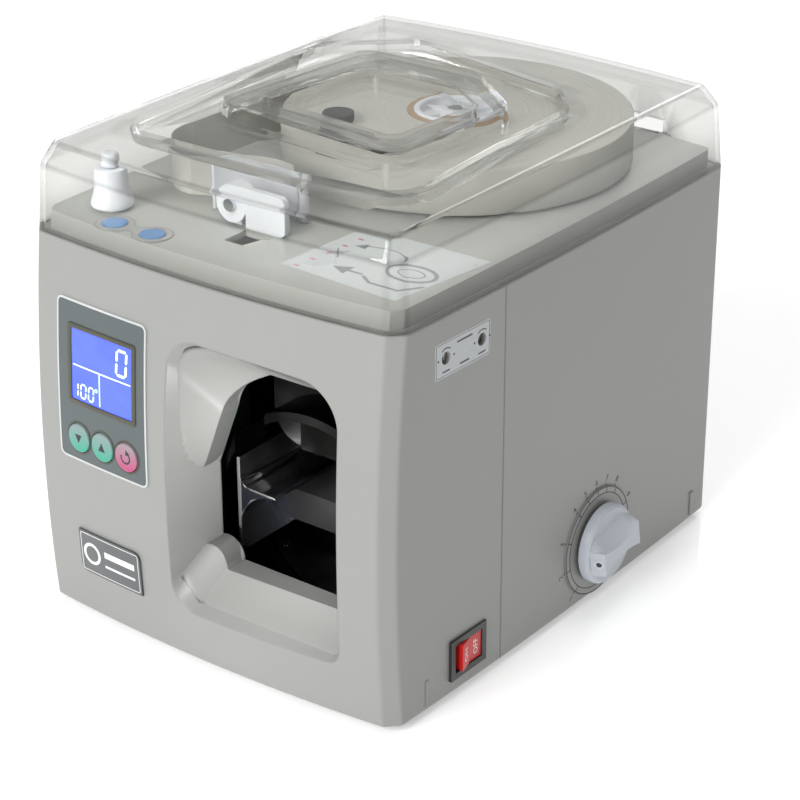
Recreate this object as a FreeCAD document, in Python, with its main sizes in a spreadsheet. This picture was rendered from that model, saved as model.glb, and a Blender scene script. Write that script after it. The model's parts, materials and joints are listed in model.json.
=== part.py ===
import FreeCAD, Part
import math
import os
import re
import Sketcher
from FreeCAD import Placement, Rotation, Vector

# Banknote bundling machine. Millimetres, +Z up, front towards -Y, standing on its feet at z = 0.
# Places are measured from the middle of the casing; casing_x moves them to the part's origin,
# which is the middle of the whole outline with the dial knob.

SIZES = [
    ("casing_x", "=(half_width - knob_end) / 2", "from the origin to the middle of the casing"),
    ("half_width", 100, "half the overall width"),
    ("front_y", -130, "middle of the bowed front"),
    ("back_y", 130, "middle of the bowed back"),
    ("shell_low", 3, "lower edge of the covers"),
    ("shell_top", "=lid_top - 37.5", "ledge that the lid stands on"),
    ("wall", 2.5, "wall of the covers"),
    ("side_bow", 2.5, "how far the side falls away at its ends"),
    ("front_sag", 5, "how far the front falls away at the corners"),
    ("corner_x", "=half_width - 8", "front corner facet, inner edge"),
    ("facet_depth", 6, "front corner facet, along Y"),
    ("back_sag", 5, "how far the back falls away at the corners"),
    ("back_corner_x", "=half_width - 5", "rear corner facet, inner edge"),
    ("back_facet", 2.5, "rear corner facet, along Y"),
    ("bulge_z", 76, "height where the front stands out most"),
    ("bulge_span", 89, "height over which the front falls back by bulge_rise"),
    ("bulge_rise", 5, "how far the front leans back at bulge_span"),
    ("front_top_y", "=front_y + bulge_rise * ((shell_top - bulge_z) / bulge_span) ^ 2", "front at the ledge"),
    ("bottom_round", 2, "rounding of the casing's lower edge"),
    ("corner_round", 2.5, "rounding of the casing's upright edges"),
    ("seam_y", -49, "seam between the front and rear cover"),
    ("seam_gap", 0.3, "gap at the seam"),
    ("rim_width", 12, "top flange that the deck stands on"),
    ("rub", 0.3, "clearance between separate pieces"),
    ("turn", 0.05, "running clearance of a shaft in its hole"),
    ("foot_radius", 9, "rubber foot"),
    ("foot_x", "=half_width - 24", "foot from the middle"),
    ("foot_y", "=back_y - 38", "foot from the middle"),
    ("base_z", "=shell_low + 0.8", "underside of the base plate"),
    ("base_thick", 2, "base plate"),
    ("deck_inset", 5, "deck inside the casing's outline"),
    ("deck_top", "=shell_top + 8", "deck surface"),
    ("deck_wall", 2.5, "wall of the deck"),
    ("deck_back", 8, "room behind the deck for the lid's back wall to swing"),
    ("slot_x", -1.5, "tape slot, middle"),
    ("slot_y", -88.2, "tape slot, middle"),
    ("slot_wide", 15, "tape slot along X"),
    ("slot_deep", 13.5, "tape slot along Y"),
    ("lid_wall", 2.5, "wall of the clear lid"),
    ("lid_gap", 0.3, "lid above its ledge"),
    ("lid_shoulder", "=lid_top - 8.5", "top of the lid's upright walls"),
    ("lid_top", 215.5, "middle of the crowned top"),
    ("lid_chamfer", 9, "chamfer of the lid, across"),
    ("lid_chamfer_rise", 7, "chamfer of the lid, up"),
    ("lid_crown", 3700, "radius of the crowned top"),
    ("emboss_rise", 1.5, "raised panel on the lid"),
    ("ring_rise", 3, "raised ring on the panel"),
    ("hinge_x", 56, "hinge from the middle"),
    ("hinge_y", "=back_y - 2.7", "hinge axis"),
    ("hinge_z", "=shell_top + 4.6", "hinge axis"),
    ("hinge_radius", 2.2, "hinge knuckle"),
    ("hinge_pin", 1, "radius of the hinge pin"),
    ("knuckle_wide", 8, "rear cover's knuckle, along X"),
    ("pocket_wide", 18, "pocket in the lid's back wall"),
    ("pocket_high", "=shell_top + 14", "top of the pocket"),
    ("roll_x", 8, "tape roll axis"),
    ("roll_y", 43, "tape roll axis"),
    ("roll_radius", 78, "tape roll"),
    ("tape_low", "=deck_top + 1.5", "lower edge of the tape"),
    ("tape_width", 20, "width of the tape"),
    ("core_radius", 22, "outside of the cardboard core"),
    ("core_wall", 3, "wall of the core"),
    ("spindle_radius", 4, "fixed spindle"),
    ("pad_x", -23, "hold-down pad"),
    ("pad_y", -2, "hold-down pad"),
    ("pad_radius", 7, "hold-down pad"),
    ("cone_x", -71, "guide roller axis"),
    ("cone_y", -95, "guide roller axis"),
    ("cone_low_radius", 9, "guide roller at its foot"),
    ("cone_top_radius", 7, "guide roller at its top"),
    ("cone_high", 17, "guide roller"),
    ("cone_post", 2.5, "post radius"),
    ("block_front", -80, "front face of the tape guide block"),
    ("block_back", "=block_front + 8", "back of the tape guide block"),
    ("block_left", -10, "plate of the guide block"),
    ("block_right", 11, "plate of the guide block"),
    ("block_top", "=deck_top + 17", "top of the guide block"),
    ("boss_x", -17.8, "screw boss of the guide block"),
    ("boss_z", "=deck_top + 9", "screw boss of the guide block"),
    ("boss_radius", 8, "screw boss of the guide block"),
    ("arc_x", -13.6, "middle of the curved tape guide"),
    ("arc_y", -79.6, "middle of the curved tape guide"),
    ("arc_radius", 24.8, "curved tape guide"),
    ("arc_wall", 1.5, "curved tape guide"),
    ("arc_start", 50, "right end of the curved tape guide, degrees from +X"),
    ("arc_end", 158, "left end of the curved tape guide, degrees from +X"),
    ("arc_top", "=deck_top + 19", "top of the curved tape guide"),
    ("tape_post_x", 4.6, "post at the end of the curved guide"),
    ("tape_post_y", -59.7, "post at the end of the curved guide"),
    ("tape_post_radius", 2.2, "post at the end of the curved guide"),
    ("strip_thick", 0.3, "tape strip"),
    ("touch_left_x", -57, "left touch key"),
    ("touch_right_x", -36, "right touch key"),
    ("touch_y", "=front_top_y + 14.933", "touch keys"),
    ("touch_radius", 5.5, "touch key"),
    ("touch_travel", 0.4, "touch key travel"),
    ("overlay_thick", 0.4, "overlay sheets"),
    ("panel_left", "=panel_right - 53.5", "control overlay"),
    ("panel_right", "=mouth_left - 10", "control overlay"),
    ("panel_low", "=panel_high - 73.5", "control overlay"),
    ("panel_high", "=shell_top - 24", "control overlay"),
    ("panel_round", 3.5, "corner of the control overlay"),
    ("panel_thick", 0.6, "control overlay"),
    ("bezel_left", "=panel_left + 6.8", "display bezel"),
    ("bezel_right", "=panel_right - 5.7", "display bezel"),
    ("bezel_low", "=panel_high - 46.6", "display bezel"),
    ("bezel_high", "=panel_high - 10", "display bezel"),
    ("bezel_wide", 2.2, "rim of the display bezel"),
    ("bezel_proud", 0.5, "bezel above the overlay"),
    ("button_x", "=panel_left + 27.2", "middle button"),
    ("button_pitch", 14.5, "button spacing"),
    ("button_z", "=panel_low + 11.3", "buttons"),
    ("button_radius", 6.5, "buttons"),
    ("button_proud", 1.6, "buttons above the casing"),
    ("button_travel", 0.8, "button travel"),
    ("board_y", -117, "front of the panel's circuit board"),
    ("board_thick", 1.6, "circuit boards"),
    ("plate_left", "=panel_left + 7.8", "name plate"),
    ("plate_right", "=panel_right - 7.9", "name plate"),
    ("plate_low", 25.3, "name plate"),
    ("plate_high", 46.1, "name plate"),
    ("throat_y", -95, "back edge of the mouth's funnel"),
    ("mouth_left", -15.5, "mouth at the front"),
    ("mouth_right", "=half_width - 26.5", "mouth at the front"),
    ("mouth_low", 26, "mouth at the front"),
    ("mouth_high", "=shell_top - 21.5", "mouth at the front"),
    ("mouth_crease", "=mouth_high - 64.5", "where the mouth's left edge meets the throat's bend"),
    ("mouth_round_ul", 14, "upper left corner of the mouth"),
    ("mouth_round_ur", 18, "upper right corner of the mouth"),
    ("mouth_round_lr", 7, "lower right corner of the mouth"),
    ("mouth_round_ll", 12, "lower left corner of the mouth"),
    ("throat_low", "=mouth_low + 12.5", "sill of the throat"),
    ("throat_high", "=shell_top - 46", "top of the throat"),
    ("throat_right", "=half_width - 30", "right side of the throat"),
    ("switch_y", -72.75, "mains switch"),
    ("switch_z", 19.5, "mains switch"),
    ("switch_long", 22, "mains switch along Y"),
    ("switch_high", 16, "mains switch along Z"),
    ("switch_depth", 15, "mains switch inside the casing"),
    ("rocker_angle", 8, "half of the rocker's throw"),
    ("rocker_pin", 1.2, "radius of the rocker's pin"),
    ("trimmer_front_y", -89, "front trimmer"),
    ("trimmer_rear_y", "=trimmer_front_y + 23.7", "rear trimmer"),
    ("trimmer_z", "=shell_top - 18", "trimmers"),
    ("trimmer_radius", 2.5, "trimmer screw"),
    ("pot_half", 4.8, "half the width of a trimmer's body"),
    ("dial_y", 24.5, "depth dial"),
    ("dial_z", 30, "depth dial"),
    ("dial_plate_radius", 25.5, "scale plate"),
    ("dial_plate_thick", 0.8, "scale plate"),
    ("knob_radius", 18.5, "knob"),
    ("knob_thick", 6, "knob's disc"),
    ("knob_end", "=half_width + 20", "end of the knob's grip"),
    ("grip_wide", 13, "knob's grip at its foot"),
    ("pointer_angle", 216, "where the pointer stands, from +Y towards +Z"),
    ("dial_shaft_radius", 3, "dial shaft"),
    ("gear_module", 1, "tooth size of the racks and their pinions"),
    ("gear_face", 5, "width of the press pinion"),
    ("depth_teeth", 14, "teeth of the dial pinion"),
    ("depth_face", 8, "width of the dial pinion"),
    ("depth_x", "=half_width - 36", "middle of the dial pinion"),
    ("depth_travel", 24, "travel of the back stop"),
    ("depth_spare", 1.5, "travel of the back stop ahead of where it stands"),
    ("press_teeth", 12, "teeth of the press pinion"),
    ("backlash", 0.15, "gap between meshed teeth"),
    ("frame_front_y", "=throat_y + 0.3", "front face of the front frame"),
    ("frame_thick", 1.8, "frame plates"),
    ("frame_back_y", -24, "front face of the rear frame"),
    ("frame_left", "=-half_width + 40", "left edge of the frames"),
    ("frame_right", "=half_width - 15", "right edge of the frames"),
    ("frame_top", "=shell_top - 18", "top of the frames"),
    ("spacer_radius", 4, "frame spacer"),
    ("screw_radius", 1.5, "machine screws"),
    ("screw_head", 2.8, "machine screws"),
    ("screw_x", "=half_width - 14", "screws of the covers, from the middle"),
    ("screw_y_front", "=-front_y - 30", "screws of the front cover, ahead of the middle"),
    ("screw_y_rear", "=back_y - 20", "screws of the rear cover, behind the middle"),
    ("base_screw_long", 8, "screws through the base plate"),
    ("boss_high", 14, "posts of the covers, above the base plate's underside"),
    ("vent_left", 10, "vents in the back"),
    ("vent_low", 96, "lowest vent in the back"),
    ("ring_x", "=half_width - 67", "tape arch"),
    ("ring_z", 64, "tape arch"),
    ("ring_inner", 49, "tape arch"),
    ("ring_outer", "=ring_inner + 4", "tape arch"),
    ("ring_wall", 1.5, "tape arch"),
    ("ring_wide", 22, "tape arch along Y"),
    ("guide_x", -10, "left face of the note guide"),
    ("guide_thick", 1.6, "note guide"),
    ("guide_low", 39.5, "note guide"),
    ("guide_high", "=head_low - 1", "note guide"),
    ("guide_front", -91, "note guide"),
    ("fin_z", "=guide_high - 13.5", "top of the note guide's fin"),
    ("fin_reach", 11.3, "tip of the fin"),
    ("head_left", -7.5, "press head"),
    ("head_right", "=throat_right", "press head"),
    ("head_front", -68, "press head"),
    ("head_back", -40, "press head"),
    ("head_low", "=head_high - 39", "press head at rest"),
    ("head_high", "=frame_top - 35", "press head at rest"),
    ("head_round", 15, "lower corners of the press head"),
    ("press_rod_radius", 3, "guide rods of the press head"),
    ("press_rod_left", 24, "guide rod"),
    ("press_rod_right", "=throat_right - 8", "guide rod"),
    ("press_rod_y", -54, "guide rods"),
    ("press_rod_low", "=head_low + 14", "lower end of the guide rods"),
    ("bracket_thick", 2, "brackets"),
    ("press_shaft_x", 40, "press pinion axis"),
    ("press_shaft_z", "=head_high - 3", "press pinion axis"),
    ("press_motor_radius", 14, "press motor"),
    ("press_motor_long", 36, "press motor"),
    ("feed_x", 6, "feed roller axis"),
    ("feed_z", "=shell_top - 13", "feed roller axis"),
    ("feed_centres", 15, "feed roller to pinch roller"),
    ("feed_teeth", 20, "gears on the two rollers"),
    ("feed_gear_face", 4, "gears on the two rollers"),
    ("feed_shaft", 2, "journals of the rollers"),
    ("feed_back_y", -72.5, "front face of the feed bracket"),
    ("feed_motor_radius", 9, "feed motor"),
    ("feed_motor_long", 28, "feed motor"),
    ("depth_rod_radius", 3, "rods of the back stop"),
    ("depth_rod_left", 22, "rod"),
    ("depth_rod_right", 48, "rod"),
    ("depth_rod_z", 51, "rods"),
    ("depth_rod_end", 72, "rear end of the rods"),
    ("stop_y", 30, "front face of the back stop"),
    ("stop_left", 2, "back stop"),
    ("stop_right", "=throat_right - 4", "back stop"),
    ("stop_high", "=head_low + 14", "back stop"),
    ("carriage_long", 18, "carriage of the back stop"),
    ("board_left", "=-half_width + 16", "main circuit board"),
    ("board_front", -94, "bracket of the main circuit board"),
    ("board_rear", -8, "bracket of the main circuit board"),
    ("board_low", 40, "main circuit board"),
    ("board_high", "=shell_top - 38", "main circuit board"),
    ("standoff_long", 4, "standoffs of the main circuit board"),
    ("standoff_radius", 2.5, "standoffs of the main circuit board"),
    ("supply_front", 30, "power supply"),
    ("supply_back", "=back_y - 22", "power supply"),
    ("supply_left", "=-half_width + 20", "power supply"),
    ("supply_right", -22, "power supply"),
    ("supply_top", 46, "power supply"),
    ("inlet_x", -56, "power inlet"),
    ("inlet_z", 74, "power inlet"),
    ("inlet_wide", 27, "power inlet body"),
    ("inlet_high", 20, "power inlet body"),
    ("inlet_front", "=back_y - 22", "front of the power inlet"),
    ("vent_pitch", 8, "vents in the back"),
    ("vent_count", 7, "vents in the back"),
    ("vent_long", 44, "vents in the back"),
    ("vent_wide", 3, "vents in the back"),
]

doc = FreeCAD.newDocument("BundlingMachine")
sheet = doc.addObject("Spreadsheet::Sheet", "Sizes")
for row, (alias, value, note) in enumerate(SIZES, start=1):
    sheet.set(f"A{row}", alias)
    sheet.setAlias(f"B{row}", alias)
    sheet.set(f"C{row}", note)
for row, (alias, value, note) in enumerate(SIZES, start=1):
    sheet.set(f"B{row}", str(value))
doc.recompute()


class Values:
    """The sheet's numbers, for the shapes that are worked out in this file."""


S = Values()
for alias, value, note in SIZES:
    setattr(S, alias, float(sheet.get(alias)))
ALIASES = {alias for alias, value, note in SIZES}
pieces = {}


def link(formula):
    """Point each size named in a formula at its cell in the sheet."""
    def cell(word):
        return f"Sizes.{word.group(0)}" if word.group(0) in ALIASES else word.group(0)
    return re.sub(r"[a-z][a-z_]*", cell, str(formula))


def bind(thing, **formulas):
    """Tie properties to formulas; an underscore in a property's path stands for a dot."""
    for path, formula in formulas.items():
        thing.setExpression(path.replace("_", "."), link(formula))


def keep(node, thing):
    """Give the finished piece its node name."""
    thing.Label = node
    pieces[node] = thing
    return thing


def box(name, x, y, z):
    """A block from low to high on each axis."""
    block = doc.addObject("Part::Box", name)
    bind(block, Length=f"({x[1]}) - ({x[0]})", Width=f"({y[1]}) - ({y[0]})",
         Height=f"({z[1]}) - ({z[0]})", Placement_Base_x=f"casing_x + {x[0]}",
         Placement_Base_y=y[0], Placement_Base_z=z[0])
    return block


TURNS = {"X": Rotation(Vector(0, 1, 0), 90), "Y": Rotation(Vector(1, 0, 0), -90), "Z": Rotation()}


def place_along(thing, axis, centre, start):
    """Turn a round piece along an axis, with its foot at start and its centre on the other two axes."""
    thing.Placement = Placement(Vector(), TURNS[axis])
    at = list(centre)
    at.insert("XYZ".index(axis), start)
    bind(thing, Placement_Base_x=f"casing_x + {at[0]}", Placement_Base_y=at[1], Placement_Base_z=at[2])
    return thing


def rod(name, axis, radius, centre, start, end):
    """A round bar along X, Y or Z."""
    bar = doc.addObject("Part::Cylinder", name)
    bind(bar, Radius=radius, Height=f"({end}) - ({start})")
    return place_along(bar, axis, centre, start)


def cone(name, axis, low_radius, high_radius, centre, start, end):
    """A round bar that tapers along X, Y or Z."""
    taper = doc.addObject("Part::Cone", name)
    bind(taper, Radius1=low_radius, Radius2=high_radius, Height=f"({end}) - ({start})")
    return place_along(taper, axis, centre, start)


def fuse(name, *solids):
    """Several solids made one."""
    whole = doc.addObject("Part::MultiFuse", name)
    whole.Shapes = list(solids)
    whole.Refine = True
    return whole


def common(name, *solids):
    """What several solids share."""
    shared = doc.addObject("Part::MultiCommon", name)
    shared.Shapes = list(solids)
    return shared


def cut(name, solid, *tools):
    """A solid less its tools."""
    tool = tools[0] if len(tools) == 1 else fuse(name + "_tools", *tools)
    rest = doc.addObject("Part::Cut", name)
    rest.Base = solid
    rest.Tool = tool
    return rest


def group(name, solids):
    """Separate solids kept as one node."""
    together = doc.addObject("Part::Compound", name)
    together.Links = list(solids)
    return together


def form(name, shape):
    """A shape worked out from the sheet's numbers."""
    thing = doc.addObject("Part::Feature", name)
    thing.Shape = shape
    bind(thing, Placement_Base_x=f"casing_x + ({shape.Placement.Base.x})")
    return thing


PLANES = {"X": "YZ_Plane", "Y": "XZ_Plane", "Z": "XY_Plane"}


def sketch_on(body, name, axis, height):
    """A sketch on one of the body's own planes, moved along the plane's axis."""
    drawing = body.newObject("Sketcher::SketchObject", name)
    plane = next(f for f in body.Origin.OriginFeatures if f.Role == PLANES[axis])
    drawing.AttachmentSupport = [(plane, "")]
    drawing.MapMode = "FlatFace"
    bind(drawing, AttachmentOffset_Base_z=height)
    return drawing


def draw_box(drawing, low, high):
    """A rectangle whose two corners follow formulas."""
    first = drawing.GeometryCount
    corners = [Vector(-5, -5, 0), Vector(5, -5, 0), Vector(5, 5, 0), Vector(-5, 5, 0)]
    for number in range(4):
        drawing.addGeometry(Part.LineSegment(corners[number], corners[(number + 1) % 4]), False)
    for number in range(4):
        following = first + (number + 1) % 4
        drawing.addConstraint(Sketcher.Constraint("Coincident", first + number, 2, following, 1))
        kind = "Vertical" if number % 2 else "Horizontal"
        drawing.addConstraint(Sketcher.Constraint(kind, first + number))
    for line, corner, start in ((first, low, -5), (first + 2, high, 5)):
        for kind, formula in zip(("DistanceX", "DistanceY"), corner):
            number = drawing.addConstraint(Sketcher.Constraint(kind, -1, 1, line, 1, start))
            drawing.setExpression(f"Constraints[{number}]", link(formula))


def draw_disc(drawing, centre, radius):
    """A circle whose centre and radius follow formulas."""
    number = drawing.addGeometry(Part.Circle(Vector(1, 1, 0), Vector(0, 0, 1), 2), False)
    for kind, formula in zip(("DistanceX", "DistanceY"), centre):
        rule = drawing.addConstraint(Sketcher.Constraint(kind, -1, 1, number, 3, 1))
        drawing.setExpression(f"Constraints[{rule}]", link(formula))
    rule = drawing.addConstraint(Sketcher.Constraint("Radius", number, 2))
    drawing.setExpression(f"Constraints[{rule}]", link(radius))


def plate(name, axis, low, high, start, end, rounding=None, discs=(), windows=(), corners=None):
    """A flat plate across an axis: an outline from low to high, round corners and its openings.

    Along Y the sketch looks at the front, so the pad runs from end towards start.
    """
    body = doc.addObject("PartDesign::Body", name)
    height = f"-({end})" if axis == "Y" else start
    drawing = sketch_on(body, name + "_outline", axis, height)
    draw_box(drawing, low, high)
    for centre, radius in discs:
        draw_disc(drawing, centre, radius)
    for window_low, window_high in windows:
        draw_box(drawing, window_low, window_high)
    pad = body.newObject("PartDesign::Pad", name + "_pad")
    pad.Profile = drawing
    bind(pad, Length=f"({end}) - ({start})")
    doc.recompute()
    if rounding:
        upright = upright_edges(pad.Shape, axis)
        chosen = upright if corners is None else [upright[number] for number in corners]
        fillet = body.newObject("PartDesign::Fillet", name + "_corners")
        fillet.Base = (pad, chosen)
        bind(fillet, Radius=rounding)
    bind(body, Placement_Base_x="casing_x")
    doc.recompute()
    return body


def upright_edges(shape, axis):
    """The four outer edges along an axis, counted round from the low left corner."""
    across = [number for number in range(3) if number != "XYZ".index(axis)]
    found = []
    for number, edge in enumerate(shape.Edges, start=1):
        if len(edge.Vertexes) != 2:
            continue
        step = edge.Vertexes[1].Point - edge.Vertexes[0].Point
        if abs(step[across[0]]) < 1e-6 and abs(step[across[1]]) < 1e-6:
            middle = edge.Vertexes[0].Point
            found.append((middle[across[0]], middle[across[1]], f"Edge{number}"))
    left = min(item[0] for item in found)
    right = max(item[0] for item in found)
    low = min(item[1] for item in found)
    high = max(item[1] for item in found)
    names = []
    for x, y in ((left, low), (right, low), (right, high), (left, high)):
        names.append(min(found, key=lambda item: abs(item[0] - x) + abs(item[1] - y))[2])
    return names


# The casing's outline

def front_at(z, x=0):
    """Y of the bowed front at a height and a distance from the middle."""
    lean = S.bulge_rise * ((z - S.bulge_z) / S.bulge_span) ** 2
    return S.front_y + S.front_sag * (x / S.corner_x) ** 2 + lean


def side_at(y):
    """X of the bowed side."""
    return S.half_width - S.side_bow * (y / S.back_y) ** 2


def plan_outline(z, inset, lean_z=None):
    """The casing's plan at a height, drawn in by inset."""
    front = front_at(z if lean_z is None else lean_z) + inset
    slip = 0.4 * inset
    corner_y = front + S.front_sag
    facet_y = corner_y + S.facet_depth - slip / 2
    rear_y = S.back_y - S.back_sag - inset
    points = [(-S.corner_x + slip, corner_y), (0, front), (S.corner_x - slip, corner_y),
              (side_at(facet_y) - inset, facet_y), (S.half_width - inset, 0),
              (side_at(rear_y) - inset, rear_y - S.back_facet),
              (S.back_corner_x - slip - inset / 3, rear_y), (0, S.back_y - inset)]
    mirrored = [(-x, y) for x, y in reversed(points[3:7])]
    corner = [Vector(x, y, z) for x, y in points + mirrored]
    edges = [Part.Arc(corner[0], corner[1], corner[2]), Part.LineSegment(corner[2], corner[3]),
             Part.Arc(corner[3], corner[4], corner[5]), Part.LineSegment(corner[5], corner[6]),
             Part.Arc(corner[6], corner[7], corner[8]), Part.LineSegment(corner[8], corner[9]),
             Part.Arc(corner[9], corner[10], corner[11]), Part.LineSegment(corner[11], corner[0])]
    return Part.Wire([edge.toShape() for edge in edges])


def casing_solid(inset, low, high):
    """A solid of the casing's form, drawn in by inset, between two heights."""
    steps = 4 if high - low > 60 else 1
    heights = [low + (high - low) * step / steps for step in range(steps + 1)]
    return Part.makeLoft([plan_outline(height, inset) for height in heights], True, False)


def rounded(solid, corner_radius, bottom_radius):
    """Round the upright edges of a solid, then its lower edge."""
    upright = [edge for edge in solid.Edges if abs(edge.tangentAt(edge.FirstParameter).z) > 0.8]
    solid = solid.makeFillet(corner_radius, upright)
    low = min(vertex.Point.z for vertex in solid.Vertexes)
    bottom = [edge for edge in solid.Edges if abs(edge.CenterOfMass.z - low) < 1e-4]
    return solid.makeFillet(bottom_radius, bottom)


outer = form("casing_outer", rounded(casing_solid(0, S.shell_low, S.shell_top), S.corner_round,
                                     S.bottom_round))
inner = form("casing_inner", casing_solid(S.wall, S.shell_low - 4, S.shell_top - S.wall))
top_hole = form("casing_top_hole", casing_solid(S.rim_width, S.shell_top - 2 * S.wall, S.shell_top + 1))
shell = cut("casing_shell", outer, inner, top_hole)

# The mouth: a funnel from the rounded opening in the front to the throat

def mouth_wire(y, grow):
    """The opening in the front: two stretches on the left, so that it matches the throat's outline."""
    left, right = S.mouth_left - grow, S.mouth_right + grow
    low, high = S.mouth_low - grow, S.mouth_high + grow
    lift = [size + grow for size in (S.mouth_round_ul, S.mouth_round_ur, S.mouth_round_lr, S.mouth_round_ll)]
    crease = (left, S.mouth_crease)
    return outline_wire(y, [
        (left, low + lift[3]), crease, (left, high - lift[0]),
        arc_middle((left, high - lift[0]), (left + lift[0], high), (left, high)),
        (left + lift[0], high), (right - lift[1], high),
        arc_middle((right - lift[1], high), (right, high - lift[1]), (right, high)),
        (right, high - lift[1]), (right, low + lift[2]),
        arc_middle((right, low + lift[2]), (right - lift[2], low), (right, low)),
        (right - lift[2], low), (left + lift[3], low),
        arc_middle((left + lift[3], low), (left, low + lift[3]), (left, low))])


def throat_wire(y, grow):
    """The throat: upright on the left, then an S-shaped edge up to the round top."""
    left, right = S.mouth_left - grow, S.throat_right + grow
    low, high = S.throat_low - grow, S.throat_high + grow
    return outline_wire(y, [
        (left, low + 9), (left, S.throat_high - 49), (left + 11.5, S.throat_high - 19),
        (left + 16, high - 9), (left + 30, high), (right - 24, high),
        (right - 6, high - 8), (right, high - 26), (right, low + 7),
        (right - 2, low + 2), (right - 7, low), (left + 12, low),
        (left + 8, low + 8)])


def arc_middle(start, end, corner):
    """The middle of a quarter arc between two points with its tangents meeting at a corner."""
    centre = (start[0] + end[0] - corner[0], start[1] + end[1] - corner[1])
    toward = (corner[0] - centre[0], corner[1] - centre[1])
    length = math.hypot(*toward)
    radius = math.hypot(start[0] - centre[0], start[1] - centre[1])
    return (centre[0] + toward[0] / length * radius, centre[1] + toward[1] / length * radius)


def outline_wire(y, points):
    """Nine edges of an opening: the arcs take the point between their ends."""
    p = [Vector(x, y, z) for x, z in points]
    edges = [Part.LineSegment(p[0], p[1]), Part.LineSegment(p[1], p[2]), Part.Arc(p[2], p[3], p[4]),
             Part.LineSegment(p[4], p[5]), Part.Arc(p[5], p[6], p[7]), Part.LineSegment(p[7], p[8]),
             Part.Arc(p[8], p[9], p[10]), Part.LineSegment(p[10], p[11]), Part.Arc(p[11], p[12], p[0])]
    return Part.Wire([edge.toShape() for edge in edges])


def funnel(grow):
    """The solid between the two outlines."""
    wires = [mouth_wire(S.front_y - 1, grow), throat_wire(S.throat_y + grow / 100, grow)]
    return Part.makeLoft(wires, True, True)


def mouth_plug():
    """The funnel's opening, run out in front of the casing."""
    ahead = Part.Face(mouth_wire(S.front_y - 1, 0)).extrude(Vector(0, -10, 0))
    behind = Part.Face(throat_wire(S.throat_y - 0.01, 0)).extrude(Vector(0, 2, 0))
    return funnel(0).fuse([ahead, behind])


funnel_wall = form("funnel_wall", funnel(S.wall))
funnel_void = form("funnel_void", mouth_plug())

# Covers

half_gap = "seam_gap / 2"
front_block = box("front_block", ("-half_width - 5", "half_width + 5"),
                  ("front_y - 5", f"seam_y - {half_gap}"),
                  (0, "shell_top + 5"))
rear_block = box("rear_block", ("-half_width - 5", "half_width + 5"), (f"seam_y + {half_gap}", "back_y + 5"),
                 (0, "shell_top + 5"))
button_names = ("button_down", "button_up", "button_reset")
button_places = [f"button_x + ({number}) * button_pitch" for number in (-1, 0, 1)]
trimmer_places = {"front": "trimmer_front_y", "rear": "trimmer_rear_y"}
switch_low = ("switch_y - switch_long / 2", "switch_z - switch_high / 2")
switch_far = ("switch_y + switch_long / 2", "switch_z + switch_high / 2")
base_top = "base_z + base_thick"

front_holes = [funnel_void]
front_holes += [rod(f"{name}_hole", "Y", "button_radius + rub", (place, "button_z"), "front_y - 5", "board_y")
                for name, place in zip(button_names, button_places)]
front_holes.append(box("display_hole", ("bezel_left + bezel_wide", "bezel_right - bezel_wide"),
                       ("front_y - 5", "board_y"), ("bezel_low + bezel_wide", "bezel_high - bezel_wide")))
front_holes += [rod(f"trimmer_{name}_hole", "X", "trimmer_radius + rub", (place, "trimmer_z"),
                    "half_width - 8", "half_width + 5") for name, place in trimmer_places.items()]
front_holes.append(box("switch_hole", ("half_width - 8", "half_width + 5"),
                       (f"{switch_low[0]} - rub", f"{switch_far[0]} + rub"),
                       (f"{switch_low[1]} - rub", f"{switch_far[1]} + rub")))


def screw_boss(name, x, y, inward):
    """A post inside the casing that a screw through the base plate holds."""
    heights = (base_top, "base_z + boss_high")
    post = rod(f"{name}_post", "Z", "spacer_radius", (x, y), *heights)
    reach = (x, "half_width - wall / 2") if inward > 0 else ("-half_width + wall / 2", x)
    web = box(f"{name}_web", reach, (f"{y} - wall / 2", f"{y} + wall / 2"), heights)
    hole = rod(f"{name}_hole", "Z", "screw_radius + turn", (x, y), "base_z - 1",
               "base_z + base_screw_long + 2")
    return post, web, hole


bosses = {}
for name, y in (("front", "-screw_y_front"), ("rear", "screw_y_rear")):
    for side, sign in (("left", -1), ("right", 1)):
        bosses[name, side] = screw_boss(f"{name}_{side}_boss", f"({sign}) * screw_x", y, sign)


def with_bosses(name, solid):
    """A cover with its two screw posts."""
    posts = [part for side in ("left", "right") for part in bosses[name, side][:2]]
    holes = [bosses[name, side][2] for side in ("left", "right")]
    return fuse(f"{name}_posts", solid, *posts), holes


front_shell = fuse("front_shell", common("front_half", shell, front_block),
                   common("funnel_part", funnel_wall, outer))
front_posts, post_holes = with_bosses("front", front_shell)
keep("front_cover", cut("front_cover", front_posts, *front_holes, *post_holes))


rear_shell = common("rear_half", shell, rear_block)
rear_add = []
for side, sign in (("left", -1), ("right", 1)):
    low = f"({sign}) * hinge_x - knuckle_wide / 2"
    high = f"({sign}) * hinge_x + knuckle_wide / 2"
    rear_add.append(rod(f"rear_knuckle_{side}", "X", "hinge_radius", ("hinge_y", "hinge_z"), low, high))
    rear_add.append(box(f"rear_web_{side}", (low, high),
                        ("hinge_y - hinge_radius * 0.8", "hinge_y + hinge_radius * 0.4"),
                        ("shell_top - wall / 2", "hinge_z")))
rear_posts, post_holes = with_bosses("rear", fuse("rear_shell", rear_shell, *rear_add))
rear_holes = [rod("hinge_bore", "X", "hinge_pin + turn", ("hinge_y", "hinge_z"), "-hinge_x - 10",
                  "hinge_x + 10"),
              rod("dial_hole", "X", "dial_shaft_radius + rub", ("dial_y", "dial_z"), "half_width - 8",
                  "half_width + 5"),
              box("inlet_hole", ("inlet_x - inlet_wide / 2 - rub", "inlet_x + inlet_wide / 2 + rub"),
                  ("back_y - 12", "back_y + 5"), ("inlet_z - inlet_high / 2 - rub",
                                                  "inlet_z + inlet_high / 2 + rub"))]
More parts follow.
